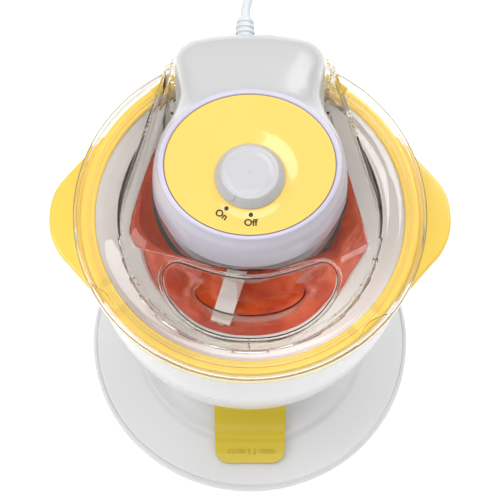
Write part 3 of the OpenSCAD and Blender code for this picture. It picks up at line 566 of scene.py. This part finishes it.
def keyhole(grow):
    r = 53.2 * PLAN + grow
    x = 46.6 * PLAN + grow
    turn = math.degrees(math.acos(x / r))
    return [(-x, LID_R + 5)] + arc((0, SEAT_Y), r, 180 - turn, 360 + turn, 128) + [(x, LID_R + 5)]


# ---------- lid ----------


def within_rim(thing, edge):
    disc = prism(arc((0, 0), LID_R - edge, 0, 358.5, 239), RIM_Z - 10, RIM_Z + 40)
    return carve(thing, disc, "INTERSECT")


def lid_plan(outline, z0, z1, edge):
    """A prism of an outline, kept within the rim."""
    return within_rim(prism(outline, z0, z1), edge)


def make_lid():
    profile = [
        (0.5, FLOOR_Z), (84 * PLAN, FLOOR_Z), (LID_R - 17, RIM_Z - CLEAR_T), (LID_R - 1.8, RIM_Z - CLEAR_T),
        (LID_R - 1.8, RIM_Z - 7), (LID_R, RIM_Z - 7), (LID_R, RIM_Z), (LID_R - 16.4, RIM_Z),
        (84 * PLAN, FLOOR_Z + CLEAR_T), (0.5, FLOOR_Z + CLEAR_T)]
    radii = [0, 3, 3, 1.2, 0.4, 0.5, 1.6, 3, 3, 0]
    wall = 1 + CLEAR_T
    x = 46.6 * PLAN + CLEAR_T
    walls = [(-x, 60 * PLAN), (x, 60 * PLAN), (x, LID_R), (-x, LID_R)]
    tail = [(-x, 84 * PLAN), (x, 84 * PLAN), (x, LID_R), (-x, LID_R)]
    lid = solid(lathe(rounded(profile, radii), 240), "lid_clear_shell")
    lid = carve(lid, lid_plan(egg(-CLEAR_T), RIM_Z + 0.2, PLATEAU_Z - CLEAR_T, wall), "DIFFERENCE")
    raised = lid_plan(egg(0), RIM_Z - 1, PLATEAU_Z, 1)
    raised = carve(raised, lid_plan(egg(-CLEAR_T), RIM_Z - 2, PLATEAU_Z - CLEAR_T, wall + 0.01), "DIFFERENCE")
    lid = carve(lid, raised, "UNION")
    lid = carve(lid, lid_plan(keyhole(CLEAR_T), FLOOR_Z, PLATEAU_Z + 0.01, 1.02), "UNION")
    lid = carve(lid, lid_plan(walls, PLATEAU_Z - 1, PLATEAU_Z + 4.5, 1.04), "UNION")
    lid = carve(lid, lid_plan(tail, RIM_Z - 0.9, FLOOR_Z + 0.5, 1.06), "UNION")
    lid = carve(lid, prism(keyhole(0), FLOOR_Z + CLEAR_T, PLATEAU_Z + 20), "DIFFERENCE")
    lid = carve(lid, prism(chute_outline(1, CLEAR_T + 0.2), FLOOR_Z + 5, PLATEAU_Z + 20), "DIFFERENCE")
    lid = carve(lid, prism(arc((0, 0), 8, 0, 354, 59), FLOOR_Z - 5, FLOOR_Z + 5), "DIFFERENCE")
    for azimuth in LUG_AZIMUTHS:
        lid = carve(lid, lug_pocket(azimuth, 0), "UNION")
        lid = carve(lid, lug_pocket(azimuth, 1.2), "DIFFERENCE")
    smooth(lid, 32)
    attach(lid, "lid")
    lid.data.materials.clear()
    lid.data.materials.append(M["clear_plastic"])
    lid.data.materials.append(M["clear_rim_painted_shade"])
    # Faces near the rim take the darker tinted copy of the clear plastic, as painted shade.
    for face in lid.data.polygons:
        face.material_index = 1 if face.center.xy.length > (LID_R - 8) * MM else 0
    # A thin dark ring just inside the rim's top edge: painted shade standing in for the dark line refraction
    # draws along the clear rim.
    shade_ring_profile = [(LID_R - 0.15 + 0.3 * math.cos(a), RIM_Z - 0.6 + 0.3 * math.sin(a))
            for a in (2 * math.pi * k / 8 for k in range(8))]
    add_mesh("lid_rim_painted_shade_line", *lathe(shade_ring_profile, 240), "lid", "edge_tint", 60)
    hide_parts("clear_lid")


LUG_AZIMUTHS = (-147, -45)


def lug_pocket(azimuth, wall):
    """A half-moon finger pocket let into the rim; with a wall, the hollow inside it."""
    half, depth = 14.5 - wall, 6.6 - wall
    outer = LID_R - 0.9 - (wall * 0.6)
    ring = []
    for k in range(25):
        t = -1 + 2 * k / 24
        a = math.radians(azimuth) + t * half / LID_R
        r = outer - depth * math.cos(t * math.pi / 2) ** 0.8
        ring.append((r * math.cos(a), r * math.sin(a)))
    for k in range(24, -1, -1):
        t = -1 + 2 * k / 24
        a = math.radians(azimuth) + t * half / LID_R
        ring.append((outer * math.cos(a) + 0.01 * math.cos(a), outer * math.sin(a) + 0.01 * math.sin(a)))
    ring = ring[::-1]
    return prism(ring, RIM_Z - 3.6 + wall, RIM_Z - 0.1 + wall * 2)


def chute_share(t):
    """How far the chute has opened at height share t, read smoothly from its levels."""
    return min(1.0, max(0.0, smooth_lookup(CHUTE_LEVELS, t)))


def make_chute():
    neck_z = PLATEAU_Z - CLEAR_T - 0.4
    span = neck_z - CHUTE_LOW_Z
    rings = [at_height(chute_outline(0, CHUTE_T * 0.75), CHUTE_LOW_Z),
             at_height(chute_outline(0, CHUTE_T), CHUTE_LOW_Z + 0.3)]
    shares = [k / 24 for k in range(1, 25)]
    for t in shares:
        rings.append(at_height(chute_outline(chute_share(t), CHUTE_T), CHUTE_LOW_Z + t * span))
    rings.append(at_height(chute_outline(1, CHUTE_T), PLATEAU_Z - 0.4))
    for k in range(9):
        a = math.pi * k / 8
        lip = chute_outline(1, 1.4 + 1.4 * math.cos(a))
        rings.append(at_height(lip, PLATEAU_Z + 0.1 + 1.0 * math.sin(a)))
    for t in shares[::-1]:
        rings.append(at_height(chute_outline(chute_share(t)), CHUTE_LOW_Z + t * span))
    rings += [at_height(chute_outline(0), CHUTE_LOW_Z + 0.3),
              at_height(chute_outline(0, CHUTE_T * 0.25), CHUTE_LOW_Z)]
    chute = add_mesh("chute_funnel", *loft(rings, join_ends=True), "lid", "clear_plastic", 60)
    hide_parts("filling_chute")


def smooth_lookup(levels, t):
    """A smooth curve through the levels, read at t."""
    first, last = levels[0], levels[-1]
    before = (2 * first[0] - levels[1][0], first[1])
    after = (2 * last[0] - levels[-2][0], last[1])
    points = [before] + list(levels) + [after]
    for i in range(1, len(points) - 2):
        if points[i][0] <= t <= points[i + 1][0] + 1e-9:
            u = (t - points[i][0]) / (points[i + 1][0] - points[i][0])
            return catmull(points[i - 1], points[i], points[i + 1], points[i + 2], u).y
    return last[1]


make_lid()
make_chute()

# ---------- motor unit ----------


def make_cover():
    seam = unit_outline(SEAM_HALF)
    rings = [at_height(inset(seam, 0.6), SEAM_Z), at_height(seam, SEAM_Z + 0.5)]
    for k in range(1, 29):
        t = k / 28
        w = min(1.0, smooth_lookup(COVER_LEVELS, t))
        rings.append(at_height(unit_outline(mixed_half(w)), SEAM_Z + t * (CROWN_Z - SEAM_Z - 0.8)))
    crown = unit_outline(CROWN_HALF)
    for k in range(1, 5):
        a = math.pi / 2 * k / 4
        rings.append(at_height(inset(crown, 1.2 * (1 - math.cos(a))), CROWN_Z - 0.8 + 0.8 * math.sin(a)))
    cover = add_mesh("unit_cover_skin", *loft(rings), "motor_unit", "unit_white", 40)
    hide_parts("unit_cover")


def make_tray():
    boss, seam = unit_outline(BOSS_HALF), unit_outline(SEAM_HALF)
    collar_z = PLATEAU_Z + 5
    rings = []
    for k in range(5):
        a = math.pi / 2 * k / 4
        rings.append(at_height(inset(boss, 1.5 * (1 - math.sin(a))), UNIT_BASE_Z + 1.5 * (1 - math.cos(a))))
    rings.append(at_height(boss, collar_z))
    for k in range(1, 9):
        t = k / 8
        out = [tuple(Vector(p).lerp(Vector(q), math.sin(t * math.pi / 2))) for p, q in zip(boss, seam)]
        rings.append(at_height(out, collar_z + (SEAM_Z - 0.7 - collar_z) * t))
    rings.append(at_height(inset(seam, 0.5), SEAM_Z - 0.25))
    tray = add_mesh("unit_tray_skin", *loft(rings), "motor_unit", "unit_white", 40)
    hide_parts("unit_tray")


DISC_RX, DISC_RY, DISC_Y = 51 * PLAN, 45.2 * PLAN, 8.4 * PLAN
DISC_TOP_Z = CROWN_Z + 1.7


def disc_height(x, y):
    """The fascia's surface: a shallow dish that swells to a low collar round the dial."""
    share = math.hypot(x / DISC_RX, (y - DISC_Y) / DISC_RY)
    dish = -1.1 * math.sin(math.pi * min(1.0, share)) ** 2
    near = math.hypot(x, y)
    collar = 1.0 * math.exp(-((near - 20) / 6.5) ** 2)
    return DISC_TOP_Z + dish * (1 - math.exp(-((near - 20) / 9) ** 2)) + collar - 0.35


def make_fascia():
    n = 192
    rings = [at_height(ellipse(DISC_RX, DISC_RY, DISC_Y, n), CROWN_Z - 0.45)]
    edge = ellipse(DISC_RX, DISC_RY, DISC_Y, n)
    for k in range(5):
        a = math.pi / 2 * k / 4
        ring = inset(edge, 0.5 * (1 - math.cos(a)))
        rings.append([(x, y, disc_height(x, y) - 0.5 * (1 - math.sin(a))) for x, y in ring])
    inner = arc((0, 0), 4.2, 0, 360 - 360 / n, n - 1)
    for k in range(1, 41):
        t = k / 40
        ring = [Vector(p).lerp(Vector(q), t) for p, q in zip(inset(edge, 0.5), inner)]
        rings.append([(p.x, p.y, disc_height(p.x, p.y)) for p in ring])
    rings.append(at_height(inner, CROWN_Z - 0.45))
    disc = add_mesh("fascia_dish", *loft(rings, join_ends=True), "motor_unit", "disc_yellow", 50)
    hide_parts("fascia_disc")
    bezel_edge = ellipse(54.9 * PLAN, 48.9 * PLAN, 8.8 * PLAN, n)
    disc_edge = ellipse(DISC_RX + 0.25, DISC_RY + 0.25, DISC_Y, n)
    band = []
    for k in range(13):
        a = math.pi * k / 12
        share = (1 - math.cos(a)) / 2
        line = [Vector(p).lerp(Vector(q), share) for p, q in zip(bezel_edge, disc_edge)]
        band.append([(p.x, p.y, CROWN_Z - 0.2 + 2.0 * math.sin(a) ** 0.6) for p in line])
    add_mesh("fascia_bezel", *loft(band, join_ends=True), "motor_unit", "bezel_white", 50)
    line = [at_height(ellipse(DISC_RX + d, DISC_RY + d, DISC_Y, n), z) for d, z in (
        (0.2, CROWN_Z - 0.2), (0.2, CROWN_Z + 1.3), (-0.05, CROWN_Z + 1.3), (-0.05, CROWN_Z - 0.2))]
    add_mesh("fascia_gap", *loft(line, join_ends=True), "motor_unit", "gap_shade", 50)


def draped_text(name, words, centre, size, turn, body, slot, height, lift, weight):
    """Raised lettering laid on a curved surface, whose height is a function of x and y."""
    curve = bpy.data.curves.new(name, "FONT")
    curve.body = words
    curve.size = size * MM
    curve.align_x = "CENTER"
    curve.align_y = "CENTER"
    curve.extrude = 0.0001
    curve.offset = weight * MM
    words_object = bpy.data.objects.new(name + "_curve", curve)
    bpy.context.scene.collection.objects.link(words_object)
    bpy.context.view_layer.update()
    mesh = bpy.data.meshes.new_from_object(words_object.evaluated_get(bpy.context.view_layer.depsgraph))
    bpy.data.objects.remove(words_object)
    mesh.transform(Matrix.Rotation(math.radians(turn), 4, "Z"))
    mesh.transform(Matrix.Translation(Vector((centre[0], centre[1], 0)) * MM))
    for vertex in mesh.vertices:
        x, y = vertex.co.x / MM, vertex.co.y / MM
        vertex.co.z = (height(x, y) + (lift if vertex.co.z > 0 else -0.2)) * MM
    label = bpy.data.objects.new(name, mesh)
    bpy.context.scene.collection.objects.link(label)
    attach(label, body)
    mesh.materials.clear()
    mesh.materials.append(M[slot])


def make_marks():
    for name, x, y in (("mark_off", 0.5, -24.3), ("mark_on", -13.9, -20.2)):
        rings = []
        for r, lift in ((1.35, -0.3), (1.35, 0.05), (1.1, 0.14), (0.5, 0.16)):
            ring = arc((x, y), r, 0, 345, 23)
            rings.append([(a, b, disc_height(a, b) + lift) for a, b in ring])
        add_mesh(name, *loft(rings), "motor_unit", "ink", 40)
    draped_text("label_off", "Off", (0.4, -29.2), 5.9, 0, "motor_unit", "ink", disc_height, 0.08, 0.17)
    draped_text("label_on", "On", (-16.9, -24.0), 5.9, -34, "motor_unit", "ink", disc_height, 0.08, 0.17)


DIAL_H = 7.4
POINTER_AZIMUTH = -124


def make_dial():
    high = box_mm("dial_knob")[1]
    dial_r, base = high.x, high.z - DIAL_H
    teeth, per_tooth = 90, 6
    n = teeth * per_tooth
    profile = [(4.0, base + 0.6, 0), (dial_r - 1.6, base + 0.5, 0), (dial_r - 0.4, base + 0.2, 0),
               (dial_r, base + 0.6, 0), (dial_r, base + 1.2, 0), (dial_r - 0.3, base + 1.6, 0.0)]
    for k in range(1, 12):
        t = k / 12
        profile.append((dial_r - 0.4 - 3.2 * t, base + 1.6 + 4.7 * t ** 0.8, math.sin(math.pi * t) ** 0.5))
    profile += [(dial_r - 3.8, base + 6.5, 0), (dial_r - 4.3, base + 6.85, 0), (dial_r - 5.0, base + 7.0, 0),
                (dial_r - 6.4, base + 7.1, 0), (dial_r - 6.8, base + 6.85, 0), (dial_r - 7.2, base + 6.85, 0),
                (dial_r - 7.6, base + 7.1, 0), (dial_r - 10, base + 7.25, 0), (dial_r - 14, base + 7.38, 0),
                (0.3, base + 7.4, 0)]
    rings = []
    for i in range(n):
        a = 2 * math.pi * i / n
        groove = 0.5 - 0.5 * math.cos(a * teeth)
        rings.append([((r - 0.45 * groove * g) * math.cos(a), (r - 0.45 * groove * g) * math.sin(a), z)
                      for r, z, g in profile])
    knob = add_mesh("dial_cap", *loft(rings, join_ends=True), "dial", "knob_white", 50)
    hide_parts("dial_knob")
    a = math.radians(POINTER_AZIMUTH)
    out, side = Vector((math.cos(a), math.sin(a))), Vector((-math.sin(a), math.cos(a)))
    block = []
    sections = ((dial_r - 4.6, base + 6.4, base + 7.2, 0.6), (dial_r - 3.6, base + 5.4, base + 7.0, 1.0),
                (dial_r - 1.0, base + 2.0, base + 4.2, 1.15), (dial_r - 0.5, base + 1.6, base + 2.4, 1.1))
    for r, z0, z1, w in sections:
        ring = [out * r - side * w, out * r + side * w]
        block.append([(ring[0].x, ring[0].y, z0), (ring[1].x, ring[1].y, z0),
                      (ring[1].x * 0.995, ring[1].y * 0.995, z1), (ring[0].x * 0.995, ring[0].y * 0.995, z1)])
    add_mesh("dial_pointer", *loft(block), "dial", "knob_white", 30)
    shaft = lathe([(3.5, base - 10.5), (3.5, base + 1), (0.3, base + 1), (0.3, base - 10.5)], 48)
    add_mesh("dial_shaft", *shaft, "dial", "knob_white", 30)


make_cover()
make_tray()
make_fascia()
make_marks()
make_dial()

# ---------- bowl ----------


EAR_T = 5.8


def make_ring():
    inner, outer = HOUSING_R - 7.5, HOUSING_R + 1.8
    ear_top = RIM_Z - 7.7
    ear_low = ear_top - EAR_T
    profile = [
        (inner, HOUSING_TOP_Z + 0.05), (HOUSING_R + 0.3, HOUSING_TOP_Z + 0.05), (HOUSING_R + 0.3, ear_low),
        (outer, ear_low), (outer, RING_TOP_Z), (inner, RING_TOP_Z)]
    profile = rounded(profile, [0.4, 0.2, 0.3, 0.5, 2.2, 1.8], 6)
    ring = add_mesh("grip_ring", *lathe(profile, 256), "bowl", "lemon_plastic", 40)
    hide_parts("handle_ring")
    outline = [tuple(p) for p in closed_spline(EAR_POINTS, 8)]
    low, high = ear_low, ear_top
    for side in (-1, 1):
        here = outline if side > 0 else [(-x, y) for x, y in outline][::-1]
        rings = []
        for k in range(5):
            a = math.pi / 2 * k / 4
            rings.append(at_height(inset(here, 1.6 * (1 - math.sin(a))), low + 1.6 * (1 - math.cos(a))))
        for k in range(6):
            a = math.pi / 2 * k / 5
            rings.append(at_height(inset(here, 1.8 * (1 - math.cos(a))), high - 1.8 * (1 - math.sin(a))))
        ear = solid(loft(rings), "grip_ear_right" if side > 0 else "grip_ear_left")
        bore = prism(arc((0, 0), outer - 0.7, 0, 358.5, 239), low - 2, high + 2)
        ear = carve(ear, bore, "DIFFERENCE")
        smooth(ear, 40)
        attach(ear, "bowl")
        ear.data.materials.clear()
        ear.data.materials.append(M["lemon_plastic"])


EAR_POINTS = [(x * PLAN, y * PLAN) for x, y in (
    (88, -54), (93.5, -49.6), (97.8, -45), (102, -39.6), (106.2, -34.6), (110.6, -29.4), (115.2, -24),
    (118.6, -17.8), (121.2, -11), (122.4, -3.5), (122.4, 3.5), (121.6, 10), (119.8, 16.6), (116.6, 22.6),
    (112.2, 28.4), (107.6, 33.8), (102.8, 39.4), (98.4, 44.6), (94, 49), (88, 54), (70, 40), (70, -40))]


def make_housing():
    base = (56, 75)
    h = HOUSING_TOP_Z - base[1]
    curve = [(HOUSING_R, HOUSING_TOP_Z), (HOUSING_R - 1, HOUSING_TOP_Z - 0.39 * h),
             (HOUSING_R - 8, base[1] + 0.17 * h), base]
    outer = [tuple(bezier(curve, 0.9 * k / 60)) for k in range(61)]
    outer[0] = (HOUSING_R - 0.5, HOUSING_TOP_Z)
    outer.insert(1, (HOUSING_R, HOUSING_TOP_Z - 0.5))
    outer += [(60, 78.3), (55, 74.2), (53, 72.6), (50, 71.5), (30.2, 71.5)]
    inner = [(r - 2.4, z + (0 if i < 2 else 2.4)) for i, (r, z) in enumerate(outer)]
    housing = add_mesh("housing_skin", *lathe(outer + inner[::-1], 256), "bowl", "housing_grey", 40)
    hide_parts("bowl_housing")


make_ring()
make_housing()

# ---------- stand ----------

STEP_Z = 17.3
NECK_R = 46.5
STEP_R = NECK_R + (FOOT_R - NECK_R) / 2
PAD_H = 2.5


def foot_height(r):
    """Height of the foot's top at a radius, from the rim to the neck."""
    if r > STEP_R + 1.6:
        return STEP_Z - 4.2 - (r - STEP_R - 1.6) * 0.23
    if r > STEP_R - 3:
        t = (STEP_R + 1.6 - r) / 4.6
        return STEP_Z - 4.2 + 4.2 * (3 * t * t - 2 * t ** 3)
    u = max(0.0, (r - NECK_R) / (STEP_R - 3 - NECK_R))
    return STEP_Z + (46 - STEP_Z) * (1 - u) ** 3


def make_foot():
    outer = [(FOOT_R, PAD_H), (FOOT_R, PAD_H + 3.6), (FOOT_R - 0.25, PAD_H + 4.8),
             (FOOT_R - 0.9, PAD_H + 5.7), (FOOT_R - 1.9, PAD_H + 6.25)]
    r = FOOT_R - 3.0
    while r > NECK_R + 0.3:
        outer.append((r, min(foot_height(r), 46)))
        r -= 0.8 if r > 70 else 0.5
    outer += [(NECK_R, 47), (NECK_R, NECK_TOP_Z)]
    inner = [(max(r - 2.4, NECK_R - 2.4), z - (0 if i == 0 or i == len(outer) - 1 else 2.4))
             for i, (r, z) in enumerate(outer)]
    inner[0] = (FOOT_R - 2.4, PAD_H)
    foot = solid(lathe(outer + inner[::-1], 256), "foot_skin")
    window = [(-12.6, -NECK_R - 12), (12.6, -NECK_R - 12), (12.6, -NECK_R + 8), (-12.6, -NECK_R + 8)]
    foot = carve(foot, prism(window, 37.4, 42.8), "DIFFERENCE")
    smooth(foot, 40)
    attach(foot, "stand")
    foot.data.materials.clear()
    foot.data.materials.append(M["shell_grey"])
    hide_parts("foot_shell")


def make_tongue():
    tip_r, root_r, half_w, corner, thick = FOOT_R - 16, NECK_R + 2.6, 23.2, 8, 3
    rows, columns = 56, 28

    def width(r):
        side = half_w - 0.03 * max(0.0, r - 62)
        if r <= tip_r - corner:
            return side
        return side - corner + math.sqrt(max(0.0, corner ** 2 - (r - tip_r + corner) ** 2))

    def surface(x, y):
        r = -y
        nearby = sum(foot_height(r + d) for d in range(-7, 8)) / 15
        return min(max(foot_height(r), nearby), 44) + 0.55

    grid = []
    for k in range(rows + 1):
        t = k / rows
        r = root_r + (tip_r - root_r) * (1 - (1 - t) ** 1.3)
        w = width(r)
        grid.append([(w * (-1 + 2 * i / columns), -r) for i in range(columns + 1)])
    points = [(x, y, surface(x, y) + thick) for row in grid for x, y in row]
    step = columns + 1
    corners = [k * step + i for k in range(rows) for i in range(columns)]
    faces = [(c, c + 1, c + step + 1, c + step) for c in corners]
    tongue = add_mesh("latch_tab", points, faces, None, None)
    thicken = tongue.modifiers.new("thicken", "SOLIDIFY")
    thicken.thickness = thick * MM
    thicken.offset = -1.0
    soften = tongue.modifiers.new("soften", "BEVEL")
    soften.width = 0.9 * MM
    soften.segments = 3
    soften.limit_method = "ANGLE"
    soften.angle_limit = math.radians(60)
    view = bpy.context.view_layer
    view.update()
    mesh = bpy.data.meshes.new_from_object(tongue.evaluated_get(view.depsgraph))
    tongue.modifiers.clear()
    tongue.data = mesh
    smooth(tongue, 45)
    mesh.materials.clear()
    mesh.materials.append(M["tongue_yellow"])
    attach(tongue, "latch")
    bar = [(-12, -NECK_R - 5.6), (12, -NECK_R - 5.6), (12, -34), (-12, -34)]
    add_mesh("latch_bar", *pillow(bar, 38, 42.2, 0.4, 2), "latch", "tongue_yellow", 40)
    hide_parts("latch_tongue")

    def tongue_top(x, y):
        return surface(x, y) + thick

    # The labels and arrows are painted a darker yellow than the tongue: painted shade for the embossing.
    draped_text("label_close", "CLOSE", (-8.9, -81.0), 3.9, 0, "latch", "tongue_shade", tongue_top, 0.3, 0.05)
    draped_text("label_open", "OPEN", (11.2, -81.0), 3.9, 0, "latch", "tongue_shade", tongue_top, 0.3, 0.05)
    for name, x, up in (("arrow_close", -0.6, 1), ("arrow_open", 3.2, -1)):
        shape = [(-0.5, -2), (0.5, -2), (0.5, 0.4), (1.4, 0.4), (0, 2.2), (-1.4, 0.4), (-0.5, 0.4)]
        ring = [(x + a, -81 + up * b) for a, b in shape]
        if up < 0:
            ring = ring[::-1]
        rings = [[(a, b, tongue_top(a, b) + z) for a, b in ring] for z in (-0.2, 0.22)]
        add_mesh(name, *loft(rings), "latch", "tongue_shade", 30)


make_foot()
make_tongue()

# ---------- paddle and ice cream ----------


def make_sorbet():
    """A lumpy serving in the bowl. It is a prop and not a piece of the machine."""
    well_r, level = 65.6 * PLAN, RIM_Z - 36.5
    rings = []
    n = 160
    for k in range(61):
        r = well_r * k / 60 + 0.4
        ring = []
        for i in range(n):
            a = 2 * math.pi * i / n
            x, y = r * math.cos(a), r * math.sin(a)
            lump = noise.fractal(Vector((x, y, 3)) / 17, 1.0, 2.0, 4) * 2.2
            swirl = math.sin(r / 5.2 + 2 * a + noise.noise(Vector((x, y, 9)) / 14) * 3) * 0.6
            edge = -1.5 * max(0, (r / well_r - 0.93) / 0.07)
            ring.append((x, y, level + lump + swirl + edge))
        rings.append(ring)
    points, faces = loft(rings, close_ends=False)
    sorbet = add_mesh("sorbet", points, faces, None, None, 80)
    sorbet.data.materials.append(M["sorbet"])
    sorbet.parent = frame["bodies"]["bowl"]


make_sorbet()

# ---------- cord ----------


def tube(points, radius, sides):
    """A round tube that follows points, with its cross-sections carried along without twisting."""
    across = Vector((1, 0, 0))
    rings = []
    for i, p in enumerate(points):
        along = (points[min(i + 1, len(points) - 1)] - points[max(i - 1, 0)]).normalized()
        across = (across - along * across.dot(along)).normalized()
        other = along.cross(across)
        rings.append([tuple(p + radius * (math.cos(a) * across + math.sin(a) * other))
                      for a in (2 * math.pi * k / sides for k in range(sides))])
    return loft(rings)


def make_cord():
    gland_y1 = 122 * PLAN
    gland_z = 247 + (RIM_Z - 231)
    cord_r = 3.0
    route = [
        (-3, gland_y1 - 3, gland_z), (-2.6, 129, gland_z), (0, 139, 246.4), (5, 152, 243), (10, 166, 235),
        (14, 180, 221), (17, 193, 200), (20, 206, 173), (22, 217, 144), (24, 227, 113), (25, 236, 82),
        (24, 245, 53), (20, 257, 28), (12, 268, 13), (2, 275.5, 5.5), (-6, 278.4, 3.4), (-14, 278.8, 3.2)]
    points = []
    n = len(route)
    for i in range(n - 1):
        for k in range(6):
            before, after = route[max(i - 1, 0)], route[min(i + 2, n - 1)]
            points.append(catmull(before, route[i], route[i + 1], after, k / 6))
    points.append(Vector(route[-1]))
    centre, mid_r, pitch = Vector((-14, 318)), 33.0, 2 * cord_r + 0.2
    lanes = [(1, 0), (0, 0), (-1, 0), (-1, 1), (0, 1), (1, 1)]
    turns, per_turn = 5.5, 48
    for k in range(1, int(turns * per_turn) + 1):
        turn = k / per_turn
        index = min(int(turn), len(lanes) - 1)
        shift = max(0.0, (turn - index - 0.8) / 0.2)
        ease = 3 * shift ** 2 - 2 * shift ** 3
        here, after = lanes[index], lanes[min(index + 1, len(lanes) - 1)]
        lane = here[0] + (after[0] - here[0]) * ease
        layer = here[1] + (after[1] - here[1]) * ease
        a = math.radians(-90) - 2 * math.pi * turn
        r = mid_r + pitch * lane
        z = cord_r + 0.2 + 5.9 * layer
        points.append(Vector((centre.x + r * math.cos(a), centre.y + r * math.sin(a), z)))
    last = points[-1]
    for k in range(1, 5):
        t = k / 4
        points.append(Vector((last.x + 15 * t, last.y, last.z + (7 - last.z) * (3 * t * t - 2 * t ** 3))))
    cord = add_mesh("mains_cord", *tube(points, cord_r, 16), "motor_unit", "cord_white", 60)
    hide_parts("power_cord", "cord_coil")


make_cord()

# ---------- light and floor ----------


SKY_STRENGTH = 0.62
FLOOR_GLOW = 0.42
FLOOR_HALF = 6.0


def area_light(name, place, target, size, power):
    data = bpy.data.lights.new(name, "AREA")
    data.shape = "RECTANGLE"
    data.size, data.size_y = size
    data.energy = power
    lamp = bpy.data.objects.new(name, data)
    lamp.location = place
    lamp.rotation_euler = (Vector(target) - Vector(place)).to_track_quat("-Z", "Y").to_euler()
    bpy.context.scene.collection.objects.link(lamp)


def paper_white():
    """A pale lit table, bright enough that the object's shadow stays faint."""
    material, tree, shader, _ = new_material("paper_white")
    fibres = noise_value(tree, object_coordinates(tree), 60, 4)
    tree.links.new(ramp(tree, fibres, 0.2, 0.8, (0.88, 0.88, 0.88), (0.93, 0.93, 0.93)),
                   shader.inputs["Base Color"])
    shader.inputs["Roughness"].default_value = 0.9
    shader.inputs["Specular IOR Level"].default_value = 0.1
    shader.inputs["Emission Color"].default_value = (1, 1, 1, 1)
    shader.inputs["Emission Strength"].default_value = FLOOR_GLOW
    return material


def make_studio():
    world = bpy.data.worlds.new("studio")
    bpy.context.scene.world = world
    world.use_nodes = True
    tree = world.node_tree
    background = tree.nodes["Background"]
    way = tree.nodes.new("ShaderNodeTexCoord")
    separate = tree.nodes.new("ShaderNodeSeparateXYZ")
    tree.links.new(way.outputs["Generated"], separate.inputs[0])
    sky = ramp(tree, separate.outputs["Z"], 0.02, 0.55, (0.34, 0.34, 0.35), (1, 1, 1))
    tree.links.new(sky, background.inputs[0])
    background.inputs[1].default_value = SKY_STRENGTH
    area_light("key", (0.75, 1.15, 1.5), (0, 0, 0.2), (1.1, 1.1), 13)
    area_light("top", (0, -0.25, 2.0), (0, 0, 0.2), (1.0, 1.0), 9)
    area_light("fill", (-1.1, -0.1, 1.4), (0, 0, 0.2), (0.9, 1.1), 9)
    mesh = bpy.data.meshes.new("floor")
    r = FLOOR_HALF
    mesh.from_pydata([(-r, -r, 0), (r, -r, 0), (r, r, 0), (-r, r, 0)], [], [(0, 1, 2, 3)])
    floor = bpy.data.objects.new("floor", mesh)
    bpy.context.scene.collection.objects.link(floor)
    mesh.materials.append(paper_white())
    bpy.context.scene.view_settings.view_transform = "Standard"


make_studio()
